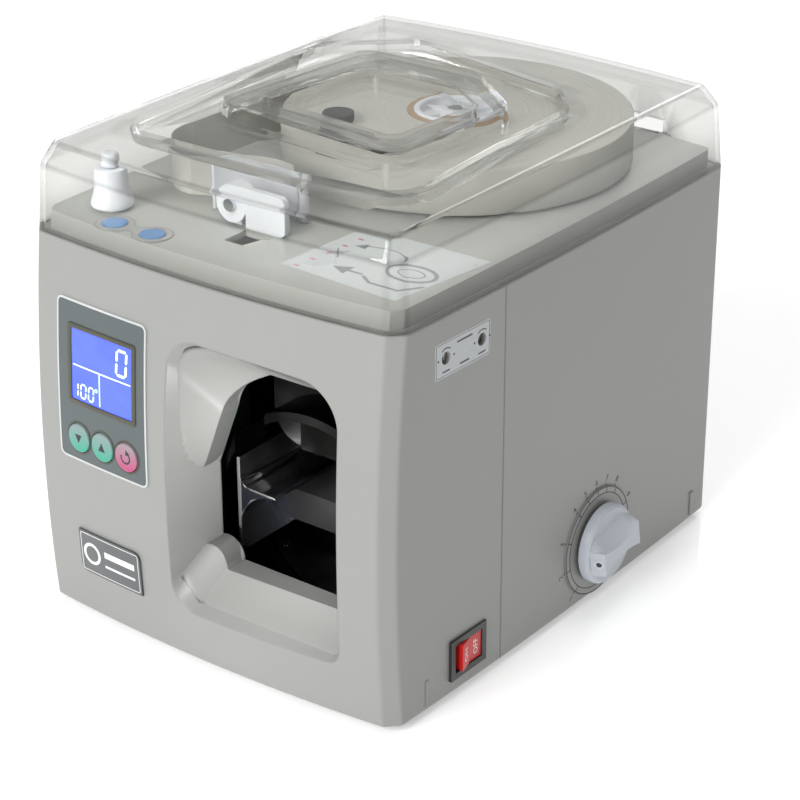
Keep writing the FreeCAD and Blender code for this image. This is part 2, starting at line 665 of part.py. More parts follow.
for number in range(round(S.vent_count)):
    rear_holes.append(box(f"vent_{number}", ("vent_left", "vent_left + vent_long"),
                          ("back_y - 12", "back_y + 5"),
                          (f"vent_low + {number} * vent_pitch",
                           f"vent_low + {number} * vent_pitch + vent_wide")))
keep("rear_cover", cut("rear_cover", rear_posts, *rear_holes, *post_holes))

# Base, feet and screws

base = form("base_blank", casing_solid(S.wall + S.rub, S.base_z, S.base_z + S.base_thick))
base_holes = [rod(f"base_hole_{name}_{side}", "Z", "screw_radius + rub",
                  (f"({sign}) * screw_x", y), "base_z - 1", f"{base_top} + 1")
              for name, y in (("front", "-screw_y_front"), ("rear", "screw_y_rear"))
              for side, sign in (("left", -1), ("right", 1))]
keep("base_plate", cut("base_plate", base, *base_holes))
feet = [cone(f"foot_{x}_{y}", "Z", "foot_radius - 1", "foot_radius", (f"({x}) * foot_x", f"({y}) * foot_y"),
             0, "base_z") for x in (-1, 1) for y in (-1, 1)]
keep("rubber_feet", group("rubber_feet", feet))


def screw(name, axis, centre, face, length, sign):
    """A pan head screw: its head on a face, its shank running from the face along the axis."""
    shank_end = f"{face} + ({sign}) * ({length})"
    head_end = f"{face} - ({sign}) * screw_head * 0.6"
    ends = (face, shank_end) if sign > 0 else (shank_end, face)
    head = (head_end, face) if sign > 0 else (face, head_end)
    return fuse(name, rod(f"{name}_shank", axis, "screw_radius", centre, *ends),
                rod(f"{name}_head", axis, "screw_head", centre, *head))


screws = [screw(f"screw_{name}_{side}", "Z", (f"({sign}) * screw_x", y), "base_z", "base_screw_long", 1)
          for name, y in (("front", "-screw_y_front"), ("rear", "screw_y_rear"))
          for side, sign in (("left", -1), ("right", 1))]

# Deck

deck_form = form("deck_form", casing_solid(S.deck_inset, S.shell_top, S.deck_top))
deck_reach = box("deck_reach", ("-half_width", "half_width"), ("front_y", "back_y - deck_back"),
                 ("shell_top", "deck_top"))
deck_outer = common("deck_outer", deck_form, deck_reach)
deck_hollow = form("deck_hollow", casing_solid(S.deck_inset + S.deck_wall, S.shell_top - 1,
                                               S.deck_top - S.deck_wall))
hollow_reach = box("hollow_reach", ("-half_width", "half_width"),
                   ("front_y", "back_y - deck_back - deck_wall"),
                   ("shell_top - 1", "deck_top - deck_wall"))
deck_inner = common("deck_inner", deck_hollow, hollow_reach)
deck_holes = [box("tape_slot", ("slot_x - slot_wide / 2", "slot_x + slot_wide / 2"),
                  ("slot_y - slot_deep / 2", "slot_y + slot_deep / 2"), ("shell_top", "deck_top + 1")),
              rod("spindle_hole", "Z", "spindle_radius - 1 + turn", ("roll_x", "roll_y"), "shell_top",
                  "deck_top + 1")]
touch_places = {"left": "touch_left_x", "right": "touch_right_x"}
deck_holes += [rod(f"touch_hole_{side}", "Z", "touch_radius + rub", (x, "touch_y"), "shell_top",
                   "deck_top + 1")
               for side, x in touch_places.items()]
keep("top_deck", cut("top_deck", cut("deck_shell", deck_outer, deck_inner), *deck_holes))

board_top = "shell_top + board_thick"
for side, x in touch_places.items():
    cap = rod(f"touch_cap_{side}", "Z", "touch_radius", (x, "touch_y"), f"{board_top} + touch_travel",
              "deck_top + overlay_thick + 0.6")
    keep(f"touch_button_{side}", cap)
keep("touch_board", plate("touch_board", "Z", ("touch_left_x - 10", "touch_y - 4"),
                          ("touch_right_x + 10", "touch_y + 9"),
                          "shell_top", board_top))

# Clear lid

def lid_solid(inset, low, drop):
    """The lid's form, drawn in by inset and lowered by drop: upright walls, a chamfer, a crowned top."""
    shoulder = S.lid_shoulder - drop * 0.4
    rise = S.lid_chamfer_rise - drop * 0.6 + 4
    across = S.lid_chamfer * rise / S.lid_chamfer_rise
    wall = Part.makeLoft([plan_wire(low, inset), plan_wire(shoulder, inset)], True, True)
    slope = Part.makeLoft([plan_wire(shoulder, inset), plan_wire(shoulder + rise, inset + across)], True,
                          True)
    crown = Part.makeSphere(S.lid_crown, Vector(0, 0, S.lid_top - drop - S.lid_crown))
    return wall.fuse(slope).removeSplitter().common(crown)


def plan_wire(z, inset):
    """The ledge's plan at another height."""
    return plan_outline(z, inset, S.shell_top)


def flat_shape(points, low, high, rounding):
    """An upright prism on a polygon with round corners, given as (x, y) points."""
    corners = [Vector(x, y, low) for x, y in points]
    prism = Part.Face(Part.makePolygon(corners + corners[:1])).extrude(Vector(0, 0, high - low))
    upright = [edge for edge in prism.Edges if abs(edge.Vertexes[0].Z - edge.Vertexes[1].Z) > 1e-6]
    return prism.makeFillet(rounding, upright)


def crown_cap(rise):
    """Everything under the lid's crown, raised by rise."""
    return Part.makeSphere(S.lid_crown, Vector(0, 0, S.lid_top + rise - S.lid_crown))


PANEL_OUTLINE = [(-78, -80), (20, -80), (68, -74), (60, 52), (40, 74), (-50, 94), (-86, 62)]
RING_OUTLINE = [(-66, -36), (40, -44), (44, 34), (8, 62), (-58, 62)]
RING_WINDOW = [(-50, -20), (26, -27), (29, 26), (0, 46), (-43, 46)]

lid_base = S.lid_top - 6
raised = flat_shape(PANEL_OUTLINE, lid_base, S.lid_top + 9, 16).common(crown_cap(S.emboss_rise))
ring = flat_shape(RING_OUTLINE, lid_base, S.lid_top + 9, 12).common(crown_cap(S.emboss_rise + S.ring_rise))
ring = ring.cut(flat_shape(RING_WINDOW, S.lid_top + S.emboss_rise - 0.6, S.lid_top + 19, 6))
lid_low = S.shell_top + S.lid_gap
lid_outer = form("lid_outer", lid_solid(0, lid_low, 0).fuse([raised, ring]))
lid_inner = form("lid_inner", lid_solid(S.lid_wall, lid_low - 5, S.lid_wall))
trim = box("lid_trim", ("-half_width - 5", "half_width + 5"), ("hinge_y - 8", "back_y + 5"),
           ("shell_top - 1", "hinge_z - hinge_radius - rub / 2"))
pockets = []
lid_knuckles = []
for side, sign in (("left", -1), ("right", 1)):
    middle = f"({sign}) * hinge_x"
    pockets.append(box(f"pocket_{side}", (f"{middle} - pocket_wide / 2", f"{middle} + pocket_wide / 2"),
                       ("hinge_y - 8", "back_y + 5"), ("shell_top", "pocket_high")))
    for end, step in (("low", -1), ("high", 1)):
        near = f"{middle} + ({step}) * (knuckle_wide / 2 + rub)"
        far = f"{middle} + ({step}) * (pocket_wide / 2 + 2)"
        ends = (near, far) if step > 0 else (far, near)
        lid_knuckles.append(rod(f"lid_knuckle_{side}_{end}", "X", "hinge_radius", ("hinge_y", "hinge_z"),
                                *ends))
lid_shell = cut("lid_shell", lid_outer, lid_inner, trim, *pockets)
lid_bore = rod("lid_bore", "X", "hinge_pin + turn", ("hinge_y", "hinge_z"), "-half_width", "half_width")
keep("clear_lid", cut("clear_lid", fuse("lid_with_knuckles", lid_shell, *lid_knuckles), lid_bore))
pins = [rod(f"hinge_pin_{sign}", "X", "hinge_pin", ("hinge_y", "hinge_z"),
            f"({sign}) * hinge_x - pocket_wide / 2 - 1.5", f"({sign}) * hinge_x + pocket_wide / 2 + 1.5")
        for sign in (-1, 1)]
keep("lid_hinge_pins", group("lid_hinge_pins", pins))
pad_blank = rod("pad_blank", "Z", "pad_radius", ("pad_x", "pad_y"), "tape_low + tape_width + 2 * rub",
                "lid_top")
keep("roll_hold_down_pad", common("roll_hold_down_pad", pad_blank, lid_inner))

# Tape roll on its spindle

tape_top = "tape_low + tape_width"
roll_axis = ("roll_x", "roll_y")
roll = rod("roll_paper", "Z", "roll_radius", roll_axis, "tape_low", tape_top)
keep("tape_roll", cut("tape_roll", roll, rod("roll_bore", "Z", "core_radius", roll_axis, "tape_low - 1",
                                             f"{tape_top} + 1")))
core = rod("core_blank", "Z", "core_radius", roll_axis, "tape_low", tape_top)
keep("roll_core", cut("roll_core", core, rod("core_bore", "Z", "core_radius - core_wall", roll_axis,
                                             "tape_low - 1", f"{tape_top} + 1")))
hub = doc.addObject("PartDesign::Body", "hub_body")
hub_sketch = sketch_on(hub, "hub_profile", "Y", 0)
draw_box(hub_sketch, ("roll_x + spindle_radius + turn", "tape_low"),
         ("roll_x + core_radius - core_wall", f"{tape_top} + 1"))
hub_turn = hub.newObject("PartDesign::Revolution", "hub_turn")
hub_turn.Profile = hub_sketch
hub_axis = hub.newObject("PartDesign::Line", "hub_axis")
hub_axis.Placement = Placement(Vector(S.roll_x, 0, 0), Rotation())
hub_turn.ReferenceAxis = (hub_axis, [""])
hub_turn.Angle = 360
bind(hub, Placement_Base_x="casing_x", Placement_Base_y="roll_y")
bind(hub_axis, Placement_Base_x="roll_x")
hub_recess = rod("hub_recess", "Z", "core_radius - core_wall - 3", roll_axis, f"{tape_top} - 3",
                 f"{tape_top} + 2")
hub_collar = rod("hub_collar", "Z", "spindle_radius + 4", roll_axis, f"{tape_top} - 4", f"{tape_top} + 3")
keep("roll_hub", cut("roll_hub", hub, cut("hub_moat", hub_recess, hub_collar)))
keep("roll_spindle", fuse("roll_spindle",
                          rod("spindle_stud", "Z", "spindle_radius - 1", roll_axis, "deck_top - deck_wall",
                              "deck_top"),
                          rod("spindle_flange", "Z", "spindle_radius + 8", roll_axis, "deck_top",
                              "tape_low - rub"),
                          rod("spindle_pin", "Z", "spindle_radius", roll_axis, "deck_top",
                              f"{tape_top} + 0.5")))

# Guides of the tape on the deck

cone_axis = ("cone_x", "cone_y")
cone_low = "deck_top + 1 + rub"
cone_high = f"{cone_low} + cone_high"
roller = cone("roller_cone", "Z", "cone_low_radius", "cone_top_radius", cone_axis, cone_low, cone_high)
keep("guide_roller", cut("guide_roller", roller, rod("roller_bore", "Z", "cone_post + turn", cone_axis,
                                                     "deck_top", f"{cone_high} + 1")))
keep("guide_roller_post", fuse("guide_roller_post",
                               rod("cone_flange", "Z", "cone_post + 3.5", cone_axis, "deck_top",
                                   "deck_top + 1"),
                               rod("cone_pin", "Z", "cone_post", cone_axis, "deck_top", f"{cone_high} + 1"),
                               rod("cone_cap", "Z", "cone_post + 1", cone_axis, f"{cone_high} + rub",
                                   f"{cone_high} + 6")))
block_plate = plate("block_plate", "Y", ("block_left", "deck_top"), ("block_right", "block_top"),
                    "block_front", "block_front + 3", rounding="3.5", corners=(1, 2))
boss = rod("block_boss", "Y", "boss_radius", ("boss_x", "boss_z"), "block_front", "block_back")
bridge = box("block_bridge", ("boss_x", "block_left + 4"), ("block_front", "block_front + 3"),
             ("boss_z + 1", "boss_z + boss_radius"))
foot_bar = box("block_foot", ("block_left + 1", "block_right - 4"), ("block_front + 2", "block_back"),
               ("deck_top", "deck_top + 6"))
boss_foot = box("block_boss_foot", ("boss_x - 4", "boss_x + 4"), ("block_front + 2", "block_back"),
                ("deck_top", "boss_z"))
block = fuse("block_blank", block_plate, boss, bridge, foot_bar, boss_foot)
keep("tape_guide_block", cut("tape_guide_block", block, rod("block_screw_hole", "Y", "screw_radius + turn",
                                                            ("boss_x",
                                                             "boss_z"), "block_front - 1", "block_back - 2")))
screws.append(screw("tape_guide_screw", "Y", ("boss_x", "boss_z"), "block_front", "4", 1))


def arc_wall(radius, thick, low, high, start, end):
    """A curved upright wall about the guide's centre, between two angles from +X."""
    def point(angle, reach):
        turn = math.radians(angle)
        return Vector(S.arc_x + reach * math.cos(turn), S.arc_y + reach * math.sin(turn), low)
    middle = (start + end) / 2
    near = Part.Arc(point(start, radius), point(middle, radius), point(end, radius)).toShape()
    far = Part.Arc(point(end, radius + thick), point(middle, radius + thick),
                   point(start, radius + thick)).toShape()
    sides = [Part.makeLine(point(end, radius), point(end, radius + thick)),
             Part.makeLine(point(start, radius + thick), point(start, radius))]
    return Part.Face(Part.Wire([near, sides[0], far, sides[1]])).extrude(Vector(0, 0, high - low))


keep("tape_guide_arc", fuse("tape_guide_arc", form("guide_wall", arc_wall(
    S.arc_radius - S.arc_wall, S.arc_wall, S.deck_top, S.arc_top, S.arc_start, S.arc_end)),
    rod("tape_post", "Z", "tape_post_radius", ("tape_post_x", "tape_post_y"), "deck_top", "arc_top + 1")))


def tape_strip():
    """The strip: off the roll's left side, round in a slack bend, then along the curved guide."""
    reach = S.arc_radius + S.rub + S.strip_thick / 2
    def on_guide(angle):
        turn = math.radians(angle)
        return Vector(S.arc_x + reach * math.cos(turn), S.arc_y + reach * math.sin(turn), S.tape_low)
    roll_side = Vector(S.roll_x - S.roll_radius - S.rub - S.strip_thick, S.roll_y, S.tape_low)
    bend_start = Vector(roll_side.x - 3, S.arc_y + 40, S.tape_low)
    bend_mid = Vector(roll_side.x + 4, S.arc_y + 18, S.tape_low)
    bend_end = Vector(S.arc_x - 38, S.arc_y + 13, S.tape_low)
    run_mid = Vector(S.arc_x - 28, S.arc_y + 18, S.tape_low)
    edges = [Part.LineSegment(roll_side, bend_start), Part.Arc(bend_start, bend_mid, bend_end),
             Part.Arc(bend_end, run_mid, on_guide(125)), Part.Arc(on_guide(125), on_guide(95), on_guide(66))]
    path = Part.Wire([edge.toShape() for edge in edges])
    outline = path.makeOffset2D(S.strip_thick / 2, 0, False, False, True)
    face = Part.Face(outline) if not outline.Faces else outline.Faces[0]
    return face.extrude(Vector(0, 0, S.tape_width))


keep("tape_lead", form("tape_lead", tape_strip()))

# Front panel

def skin(name, near, far):
    """A layer that follows the bowed front and sides, between two distances outside the casing."""
    layer = form(f"{name}_far", casing_solid(-far, S.shell_low + 5, S.shell_top - 5))
    return layer, form(f"{name}_near", casing_solid(-near, S.shell_low, S.shell_top))


def front_block_for(name, low, high, **corners):
    """A block that reaches through the front, with its outline given in X and Z."""
    return plate(name, "Y", low, high, "front_y - 8", "front_y + 20", **corners)


panel_far, panel_near = skin("panel_skin", 0, S.panel_thick)
bezel_far, bezel_near = skin("bezel_skin", S.panel_thick, S.panel_thick + S.bezel_proud)
panel_block = front_block_for("panel_block", ("panel_left", "panel_low"), ("panel_right", "panel_high"),
                              rounding="panel_round")
panel_holes = [rod(f"{name}_panel_hole", "Y", "button_radius + rub", (place, "button_z"), "front_y - 9",
                   "board_y")
               for name, place in zip(button_names, button_places)]
display_low = ("bezel_left + bezel_wide", "bezel_low + bezel_wide")
display_high = ("bezel_right - bezel_wide", "bezel_high - bezel_wide")
panel_holes.append(box("display_panel_hole", (display_low[0], display_high[0]), ("front_y - 9", "board_y"),
                       (display_low[1], display_high[1])))
keep("control_overlay", cut("control_overlay", common("panel_sheet", panel_block, panel_far), panel_near,
                            *panel_holes))
bezel_block = front_block_for("bezel_block", ("bezel_left", "bezel_low"), ("bezel_right", "bezel_high"),
                              rounding="panel_round / 2", windows=[(display_low, display_high)])
keep("display_bezel", cut("display_bezel", common("bezel_sheet", bezel_block, bezel_far), bezel_near))
window_low = (f"{display_low[0]} + rub / 2", f"{display_low[1]} + rub / 2")
window_high = (f"{display_high[0]} - rub / 2", f"{display_high[1]} - rub / 2")
window_block = front_block_for("window_block", window_low, window_high)
window_near = form("window_near", casing_solid(S.wall / 2, S.shell_low, S.shell_top))
lens = cut("display_lens", common("window_sheet", window_block, panel_far), window_near)
board_back = "board_y + board_thick"
lcd_block = box("lcd_block", (window_low[0], window_high[0]), ("front_y", "board_y"),
                (window_low[1], window_high[1]))
lcd_ahead = box("lcd_ahead", ("-half_width - 5", "half_width + 5"), ("front_y - 9", "board_y - 1"),
                (0, "shell_top + 5"))
lcd_can = cut("lcd_can", lcd_block, cut("lcd_front", lcd_ahead, window_near))
keep("lcd_module", fuse("lcd_module", lens, lcd_can))
for name, place in zip(button_names, button_places):
    cap = rod(f"{name}_cap", "Y", "button_radius", (place, "button_z"), "front_y - 4",
              "board_y - button_travel")
    keep(name, common(name, cap, form(f"{name}_crown",
                                      casing_solid(-S.button_proud, S.shell_low, S.shell_top))))
board_sheet = plate("panel_sheet_board", "Y", ("panel_left + 2", "button_z - 9"),
                    ("panel_right - 2", "panel_high - 6"),
                    "board_y", board_back)
board_legs = [box(f"board_leg_{number}", (x, f"{x} + 4"), (board_back, "frame_front_y"),
                  ("panel_low + 20", "panel_low + 26"))
              for number, x in enumerate(("frame_left + 2", "panel_right - 8"))]
keep("panel_board", fuse("panel_board", board_sheet, *board_legs))
plate_block = front_block_for("name_plate_block", ("plate_left", "plate_low"), ("plate_right", "plate_high"),
                              rounding="panel_round", corners=(0, 2))
keep("name_plate", cut("name_plate", common("name_plate_sheet", plate_block, bezel_far), panel_near))

# Right side: trimmers, mains switch, depth dial

pots = []
pot_right = "half_width - side_bow - wall - 1.5"
for name, place in trimmer_places.items():
    pot = box(f"pot_{name}", (f"{pot_right} - 6", pot_right), (f"{place} - pot_half", f"{place} + pot_half"),
              ("trimmer_z - pot_half", "trimmer_z + pot_half"))
    pots.append(cut(f"pot_{name}_body", pot, rod(f"pot_{name}_bore", "X", "trimmer_radius + turn",
                                                 (place, "trimmer_z"),
                                                 f"{pot_right} - 3", f"{pot_right} + 1")))
    shank = rod(f"trimmer_{name}_shank", "X", "trimmer_radius", (place, "trimmer_z"),
                f"{pot_right} - 3 + rub / 3", "half_width - side_bow")
    blade = box(f"trimmer_{name}_slot", ("half_width - side_bow - 1", "half_width + 1"),
                (f"{place} - 0.4", f"{place} + 0.4"), ("trimmer_z - 4", "trimmer_z + 4"))
    keep(f"trimmer_screw_{name}", cut(f"trimmer_screw_{name}", shank, blade))
pot_board = box("pot_board", (f"{pot_right} - 6 - board_thick", f"{pot_right} - 6"),
                ("trimmer_front_y - pot_half", "trimmer_rear_y + pot_half"), ("trimmer_z - pot_half",
                                                                              "trimmer_z + pot_half"))
keep("trimmer_pots", fuse("trimmer_pots", pot_board, *pots))

side_x = "half_width - side_bow * 0.4"
bezel = box("switch_rim", ("half_width - side_bow", f"{side_x} + 1.4"),
            (f"{switch_low[0]} - 1.5", f"{switch_far[0]} + 1.5"), (f"{switch_low[1]} - 1.5",
                                                                   f"{switch_far[1]} + 1.5"))
switch_body = box("switch_body", ("half_width - side_bow - switch_depth", f"{side_x} + 1.4"),
                  (switch_low[0], switch_far[0]), (switch_low[1], switch_far[1]))
switch_well = box("switch_well", ("half_width - side_bow - switch_depth + 2", "half_width + 5"),
                  (f"{switch_low[0]} + 1.5", f"{switch_far[0]} - 1.5"), (f"{switch_low[1]} + 1.5",
                                                                         f"{switch_far[1]} - 1.5"))
switch_blank = fuse("switch_blank", cut("switch_rim_outside", bezel, panel_near), switch_body)
pin_hole = rod("switch_pin_hole", "Z", "rocker_pin + turn", ("half_width - side_bow - 5", "switch_y"),
               f"{switch_low[1]} - 1", f"{switch_far[1]} + 1")
keep("switch_frame", cut("switch_frame", switch_blank, switch_well, pin_hole))


def rocker_shape():
    """The rocker: two faces at a flat angle, seen from above, on a round back about an upright pin."""
    half = S.switch_long / 2 - 3
    proud = S.half_width - S.side_bow * 0.4 + 1
    centre = S.half_width - S.side_bow - 5
    slope = math.tan(math.radians(S.rocker_angle))
    outline = [(proud, S.switch_y), (proud + slope * half, S.switch_y + half),
               (centre + 2, S.switch_y + half - 1), (centre - 3, S.switch_y + 2),
               (centre - 3, S.switch_y - 2), (centre + 2, S.switch_y - half + 1),
               (proud + slope * half, S.switch_y - half)]
    low = S.switch_z - S.switch_high / 2 + 1.5 + S.rub
    corners = [Vector(x, y, low) for x, y in outline]
    face = Part.Face(Part.makePolygon(corners + corners[:1]))
    solid = face.extrude(Vector(0, 0, S.switch_high - 3 - 2 * S.rub))
    solid.rotate(Vector(centre, S.switch_y, 0), Vector(0, 0, 1), S.rocker_angle)
    pin_foot = Vector(centre, S.switch_y, S.switch_z - S.switch_high / 2 + 0.5)
    return solid.fuse(Part.makeCylinder(S.rocker_pin, S.switch_high - 1, pin_foot))


keep("rocker", form("rocker", rocker_shape()))

dial_axis = ("dial_y", "dial_z")
scale_top = "half_width + dial_plate_thick"
scale_disc = rod("scale_disc", "X", "dial_plate_radius", dial_axis, "half_width - 5", scale_top)
keep("dial_plate", cut("dial_plate", scale_disc,
                       form("scale_back", casing_solid(0, S.shell_low, S.shell_top)),
                       rod("scale_hole", "X", "dial_shaft_radius + rub", dial_axis, "half_width - 6",
                           f"{scale_top} + 1")))
knob_foot = f"{scale_top} + rub"


def grip_shape():
    """The knob's grip: a bar across the disc that narrows towards its end, turned to the pointer."""
    foot = S.half_width + S.dial_plate_thick + S.rub + S.knob_thick - 1
    reach = S.knob_radius - 0.6
    def section(x, wide, long):
        points = [Vector(x, -long, -wide), Vector(x, long, -wide), Vector(x, long, wide),
                  Vector(x, -long, wide)]
        return Part.makePolygon(points + points[:1])
    bar = Part.makeLoft([section(foot, S.grip_wide / 2, reach),
                         section(S.knob_end, S.grip_wide / 2 - 2.4, reach - 2)],
                        True, True)
    bar = bar.common(Part.makeCylinder(reach, S.knob_end - foot + 2, Vector(foot - 1, 0, 0), Vector(1, 0, 0)))
    tip = [edge for edge in bar.Edges if edge.BoundBox.XMin > S.knob_end - 0.01]
    bar = bar.makeFillet(1.2, tip)
    bar.rotate(Vector(), Vector(1, 0, 0), S.pointer_angle)
    bar.translate(Vector(0, S.dial_y, S.dial_z))
    return bar


knob = fuse("knob_blank", rod("knob_disc", "X", "knob_radius", dial_axis, knob_foot,
                              f"{knob_foot} + knob_thick"),
            form("knob_grip", grip_shape()))
keep("dial_knob", cut("dial_knob", knob, rod("knob_bore", "X", "dial_shaft_radius + turn / 2", dial_axis,
                                             f"{knob_foot} - 1", "knob_end - 6")))

# Gears and racks

PRESSURE = math.radians(20)


def gear(teeth, module, width, bore, twist):
    """A spur gear across Y, centred on the Y axis, with one tooth at an angle from +X towards +Z."""
    pitch = teeth * module / 2
    root = pitch - 1.25 * module
    tip = pitch + 0.95 * module
    base = pitch * math.cos(PRESSURE)
    half_tooth = (math.pi * module / 2 - S.backlash) / (2 * pitch)

    def spread(radius):
        """How far the flank has turned at a radius."""
        slope = math.acos(min(1, base / radius))
        return math.tan(slope) - slope

    start = max(base, root)
    flank = [start + (tip - start) * step / 4 for step in range(5)]
    points = []
    for tooth in range(int(teeth)):
        middle = math.radians(twist) + 2 * math.pi * tooth / teeth
        side = [(radius, half_tooth + spread(pitch) - spread(radius)) for radius in flank]
        side.insert(0, (root, side[0][1]))
        turned = [(radius, middle - angle) for radius, angle in side]
        turned += [(radius, middle + angle) for radius, angle in reversed(side)]
        points += [Vector(radius * math.cos(angle), 0, radius * math.sin(angle)) for radius, angle in turned]
    blank = Part.Face(Part.makePolygon(points + points[:1])).extrude(Vector(0, width, 0))
    if bore:
        blank = blank.cut(Part.makeCylinder(bore, width + 2, Vector(0, -1, 0), Vector(0, 1, 0)))
    return blank


def rack(length, module, width, back, phase):
    """A rack along Z with its teeth towards +X, its pitch line on the Z axis and a gap at phase."""
    half = (math.pi * module / 2 - S.backlash) / 2
    pitch = math.pi * module
    lean = math.tan(PRESSURE)
    tip = 0.95 * module
    root = 1.25 * module
    points = [Vector(-back, 0, -length / 2), Vector(-root, 0, -length / 2)]
    first = math.ceil((-length / 2 - phase) / pitch)
    place = phase + (first + 0.5) * pitch
    while place + pitch / 2 < length / 2:
        points += [Vector(-root, 0, place - half - root * lean), Vector(tip, 0, place - half + tip * lean),
                   Vector(tip, 0, place + half - tip * lean), Vector(-root, 0, place + half + root * lean)]
        place += pitch
    points += [Vector(-root, 0, length / 2), Vector(-back, 0, length / 2)]
    return Part.Face(Part.makePolygon(points + points[:1])).extrude(Vector(0, width, 0))


# Mechanism frame

def frame_plate(name, front, window, holes):
    """A steel plate across the casing with a foot on the base plate."""
    low = ("frame_left", base_top)
    high = ("frame_right", "frame_top + 14" if name == "front_frame" else "frame_top")
    sheet_plate = plate(f"{name}_plate", "Y", low, high, front, f"{front} + frame_thick", windows=[window])
    foot = box(f"{name}_foot", ("frame_left", "frame_right"), (front, f"{front} + 12"),
               (base_top, f"{base_top} + frame_thick"))
    return cut(name, fuse(f"{name}_blank", sheet_plate, foot), *holes)


spacer_places = {"low_left": ("frame_left + 8", "ring_z - 44"),
                 "high_left": ("frame_left + 8", "frame_top - 12"),
                 "low_right": ("ring_x + 42", "ring_z - 48"), "high_right": ("frame_right - 7",
                                                                             "frame_top - 18")}
plate_back = "frame_front_y + frame_thick"
rear_back = "frame_back_y + frame_thick"


def frame_holes(name, face):
    """Clearance holes for the screws into the spacers."""
    return [rod(f"{name}_hole_{spot}", "Y", "screw_radius + rub", place, f"{face} - 1",
                f"{face} + frame_thick + 1")
            for spot, place in spacer_places.items()]


nip_z = "feed_z"
pinch_x = "feed_x - feed_centres"
journals = [rod("feed_journal_hole", "Y", "feed_shaft + turn", ("feed_x", nip_z), "frame_front_y - 1",
                f"{plate_back} + 1"),
            rod("pinch_journal_hole", "Y", "feed_shaft + turn", (pinch_x, nip_z), "frame_front_y - 1",
                f"{plate_back} + 1")]
keep("front_frame", frame_plate("front_frame", "frame_front_y",
                                (("mouth_left - 1.5", "throat_low - 2"),
                                 ("throat_right + 3", "throat_high + 3")),
                                frame_holes("front_frame", "frame_front_y") + journals))
press_bore = rod("press_motor_hole", "Y", "feed_shaft + rub", ("press_shaft_x", "press_shaft_z"),
                 "frame_back_y - 1", f"{rear_back} + 1")
stop_rod_holes = [rod(f"stop_rod_hole_{x}", "Y", "depth_rod_radius + turn", (x, "depth_rod_z"),
                      "frame_back_y - 1",
                      f"{rear_back} + 1") for x in ("depth_rod_left", "depth_rod_right")]
keep("rear_frame", frame_plate("rear_frame", "frame_back_y",
                               (("guide_x + guide_thick + 2", "fin_z - 14"),
                                ("throat_right + 8", "press_shaft_z - 18")),
                               frame_holes("rear_frame", "frame_back_y") + [press_bore] + stop_rod_holes))
spacers = [cut(f"spacer_{spot}", rod(f"spacer_{spot}_bar", "Y", "spacer_radius", place, plate_back,
                                     "frame_back_y"),
               rod(f"spacer_{spot}_bore", "Y", "screw_radius + turn", place, f"{plate_back} - 1",
                   "frame_back_y + 1"))
           for spot, place in spacer_places.items()]
keep("frame_spacers", group("frame_spacers", spacers))
screws += [screw(f"frame_screw_{spot}", "Y", place, "frame_front_y", 8, 1) for spot,
           place in spacer_places.items()]
screws += [screw(f"back_screw_{spot}", "Y", place, rear_back, 8, -1) for spot, place in spacer_places.items()]
keep("machine_screws", group("machine_screws", screws))

# Tape arch behind the throat

ring_axis = ("ring_x", "ring_z")
ring_back = f"{plate_back} + ring_wide"
arch_blank = rod("arch_blank", "Y", "ring_outer", ring_axis, plate_back, ring_back)
arch_bore = rod("arch_bore", "Y", "ring_inner", ring_axis, f"{plate_back} - 1", f"{ring_back} + 1")
arch_channel = rod("arch_channel", "Y", "ring_outer - ring_wall", ring_axis, f"{plate_back} + ring_wall",
                   f"{ring_back} - ring_wall")
arch_gap = box("arch_gap", ("feed_x - feed_centres", "feed_x + 2"), (f"{plate_back} - 1", f"{ring_back} + 1"),
               ("ring_z", "ring_z + ring_outer + 5"))
keep("tape_arch", cut("tape_arch", arch_blank, arch_bore, arch_channel, arch_gap))

# Note guide: an upright plate with a pointed fin towards the middle

def fin_shape():
    """The fin's section, run back along the guide."""
    root = S.guide_x + S.guide_thick - 0.2
    top = S.fin_z
    tip = S.fin_reach
    corner = [Vector(root, 0, top + 5), Vector(root + 1.6, 0, top + 1.4), Vector(root + 6, 0, top),
              Vector(tip - 1, 0, top - 0.4), Vector(tip, 0, top - 1.2), Vector(root + 6.5, 0, top - 6),
              Vector(root, 0, top - 17)]
    edges = [Part.Arc(corner[0], corner[1], corner[2]), Part.LineSegment(corner[2], corner[3]),
             Part.LineSegment(corner[3], corner[4]), Part.Arc(corner[4], corner[5], corner[6]),
             Part.LineSegment(corner[6], corner[0])]
    face = Part.Face(Part.Wire([edge.toShape() for edge in edges]))
    solid = face.extrude(Vector(0, S.frame_back_y - 2 - S.guide_front, 0))
    solid.translate(Vector(0, S.guide_front, 0))
    return solid


guide_right = "guide_x + guide_thick"
guide_plate = box("guide_plate", ("guide_x", guide_right), ("guide_front", "frame_back_y"),
                  ("guide_low", "guide_high"))
guide_foot = box("guide_foot", ("guide_x - 14", guide_right), ("frame_back_y - guide_thick", "frame_back_y"),
                 ("fin_z - 12", "guide_high"))
arch_room = cut("arch_room", rod("arch_room_out", "Y", "ring_outer + rub", ring_axis, f"{plate_back} - 1",
                                 f"{ring_back} + rub"),
                rod("arch_room_in", "Y", "ring_inner - rub", ring_axis, f"{plate_back} - 2",
                    f"{ring_back} + 1"))
keep("note_guide", cut("note_guide", fuse("guide_blank", guide_plate, guide_foot, form("fin", fin_shape())),
                       arch_room))
keep("heater_block", plate("heater_block", "Y", ("guide_x + guide_thick + 6", "fin_z - 24"),
                           ("head_right - 6", "fin_z - 9"),
                           "head_front + 2", "frame_back_y", rounding="3"))

# Press head on two guide rods, with its rack, pinion and motor

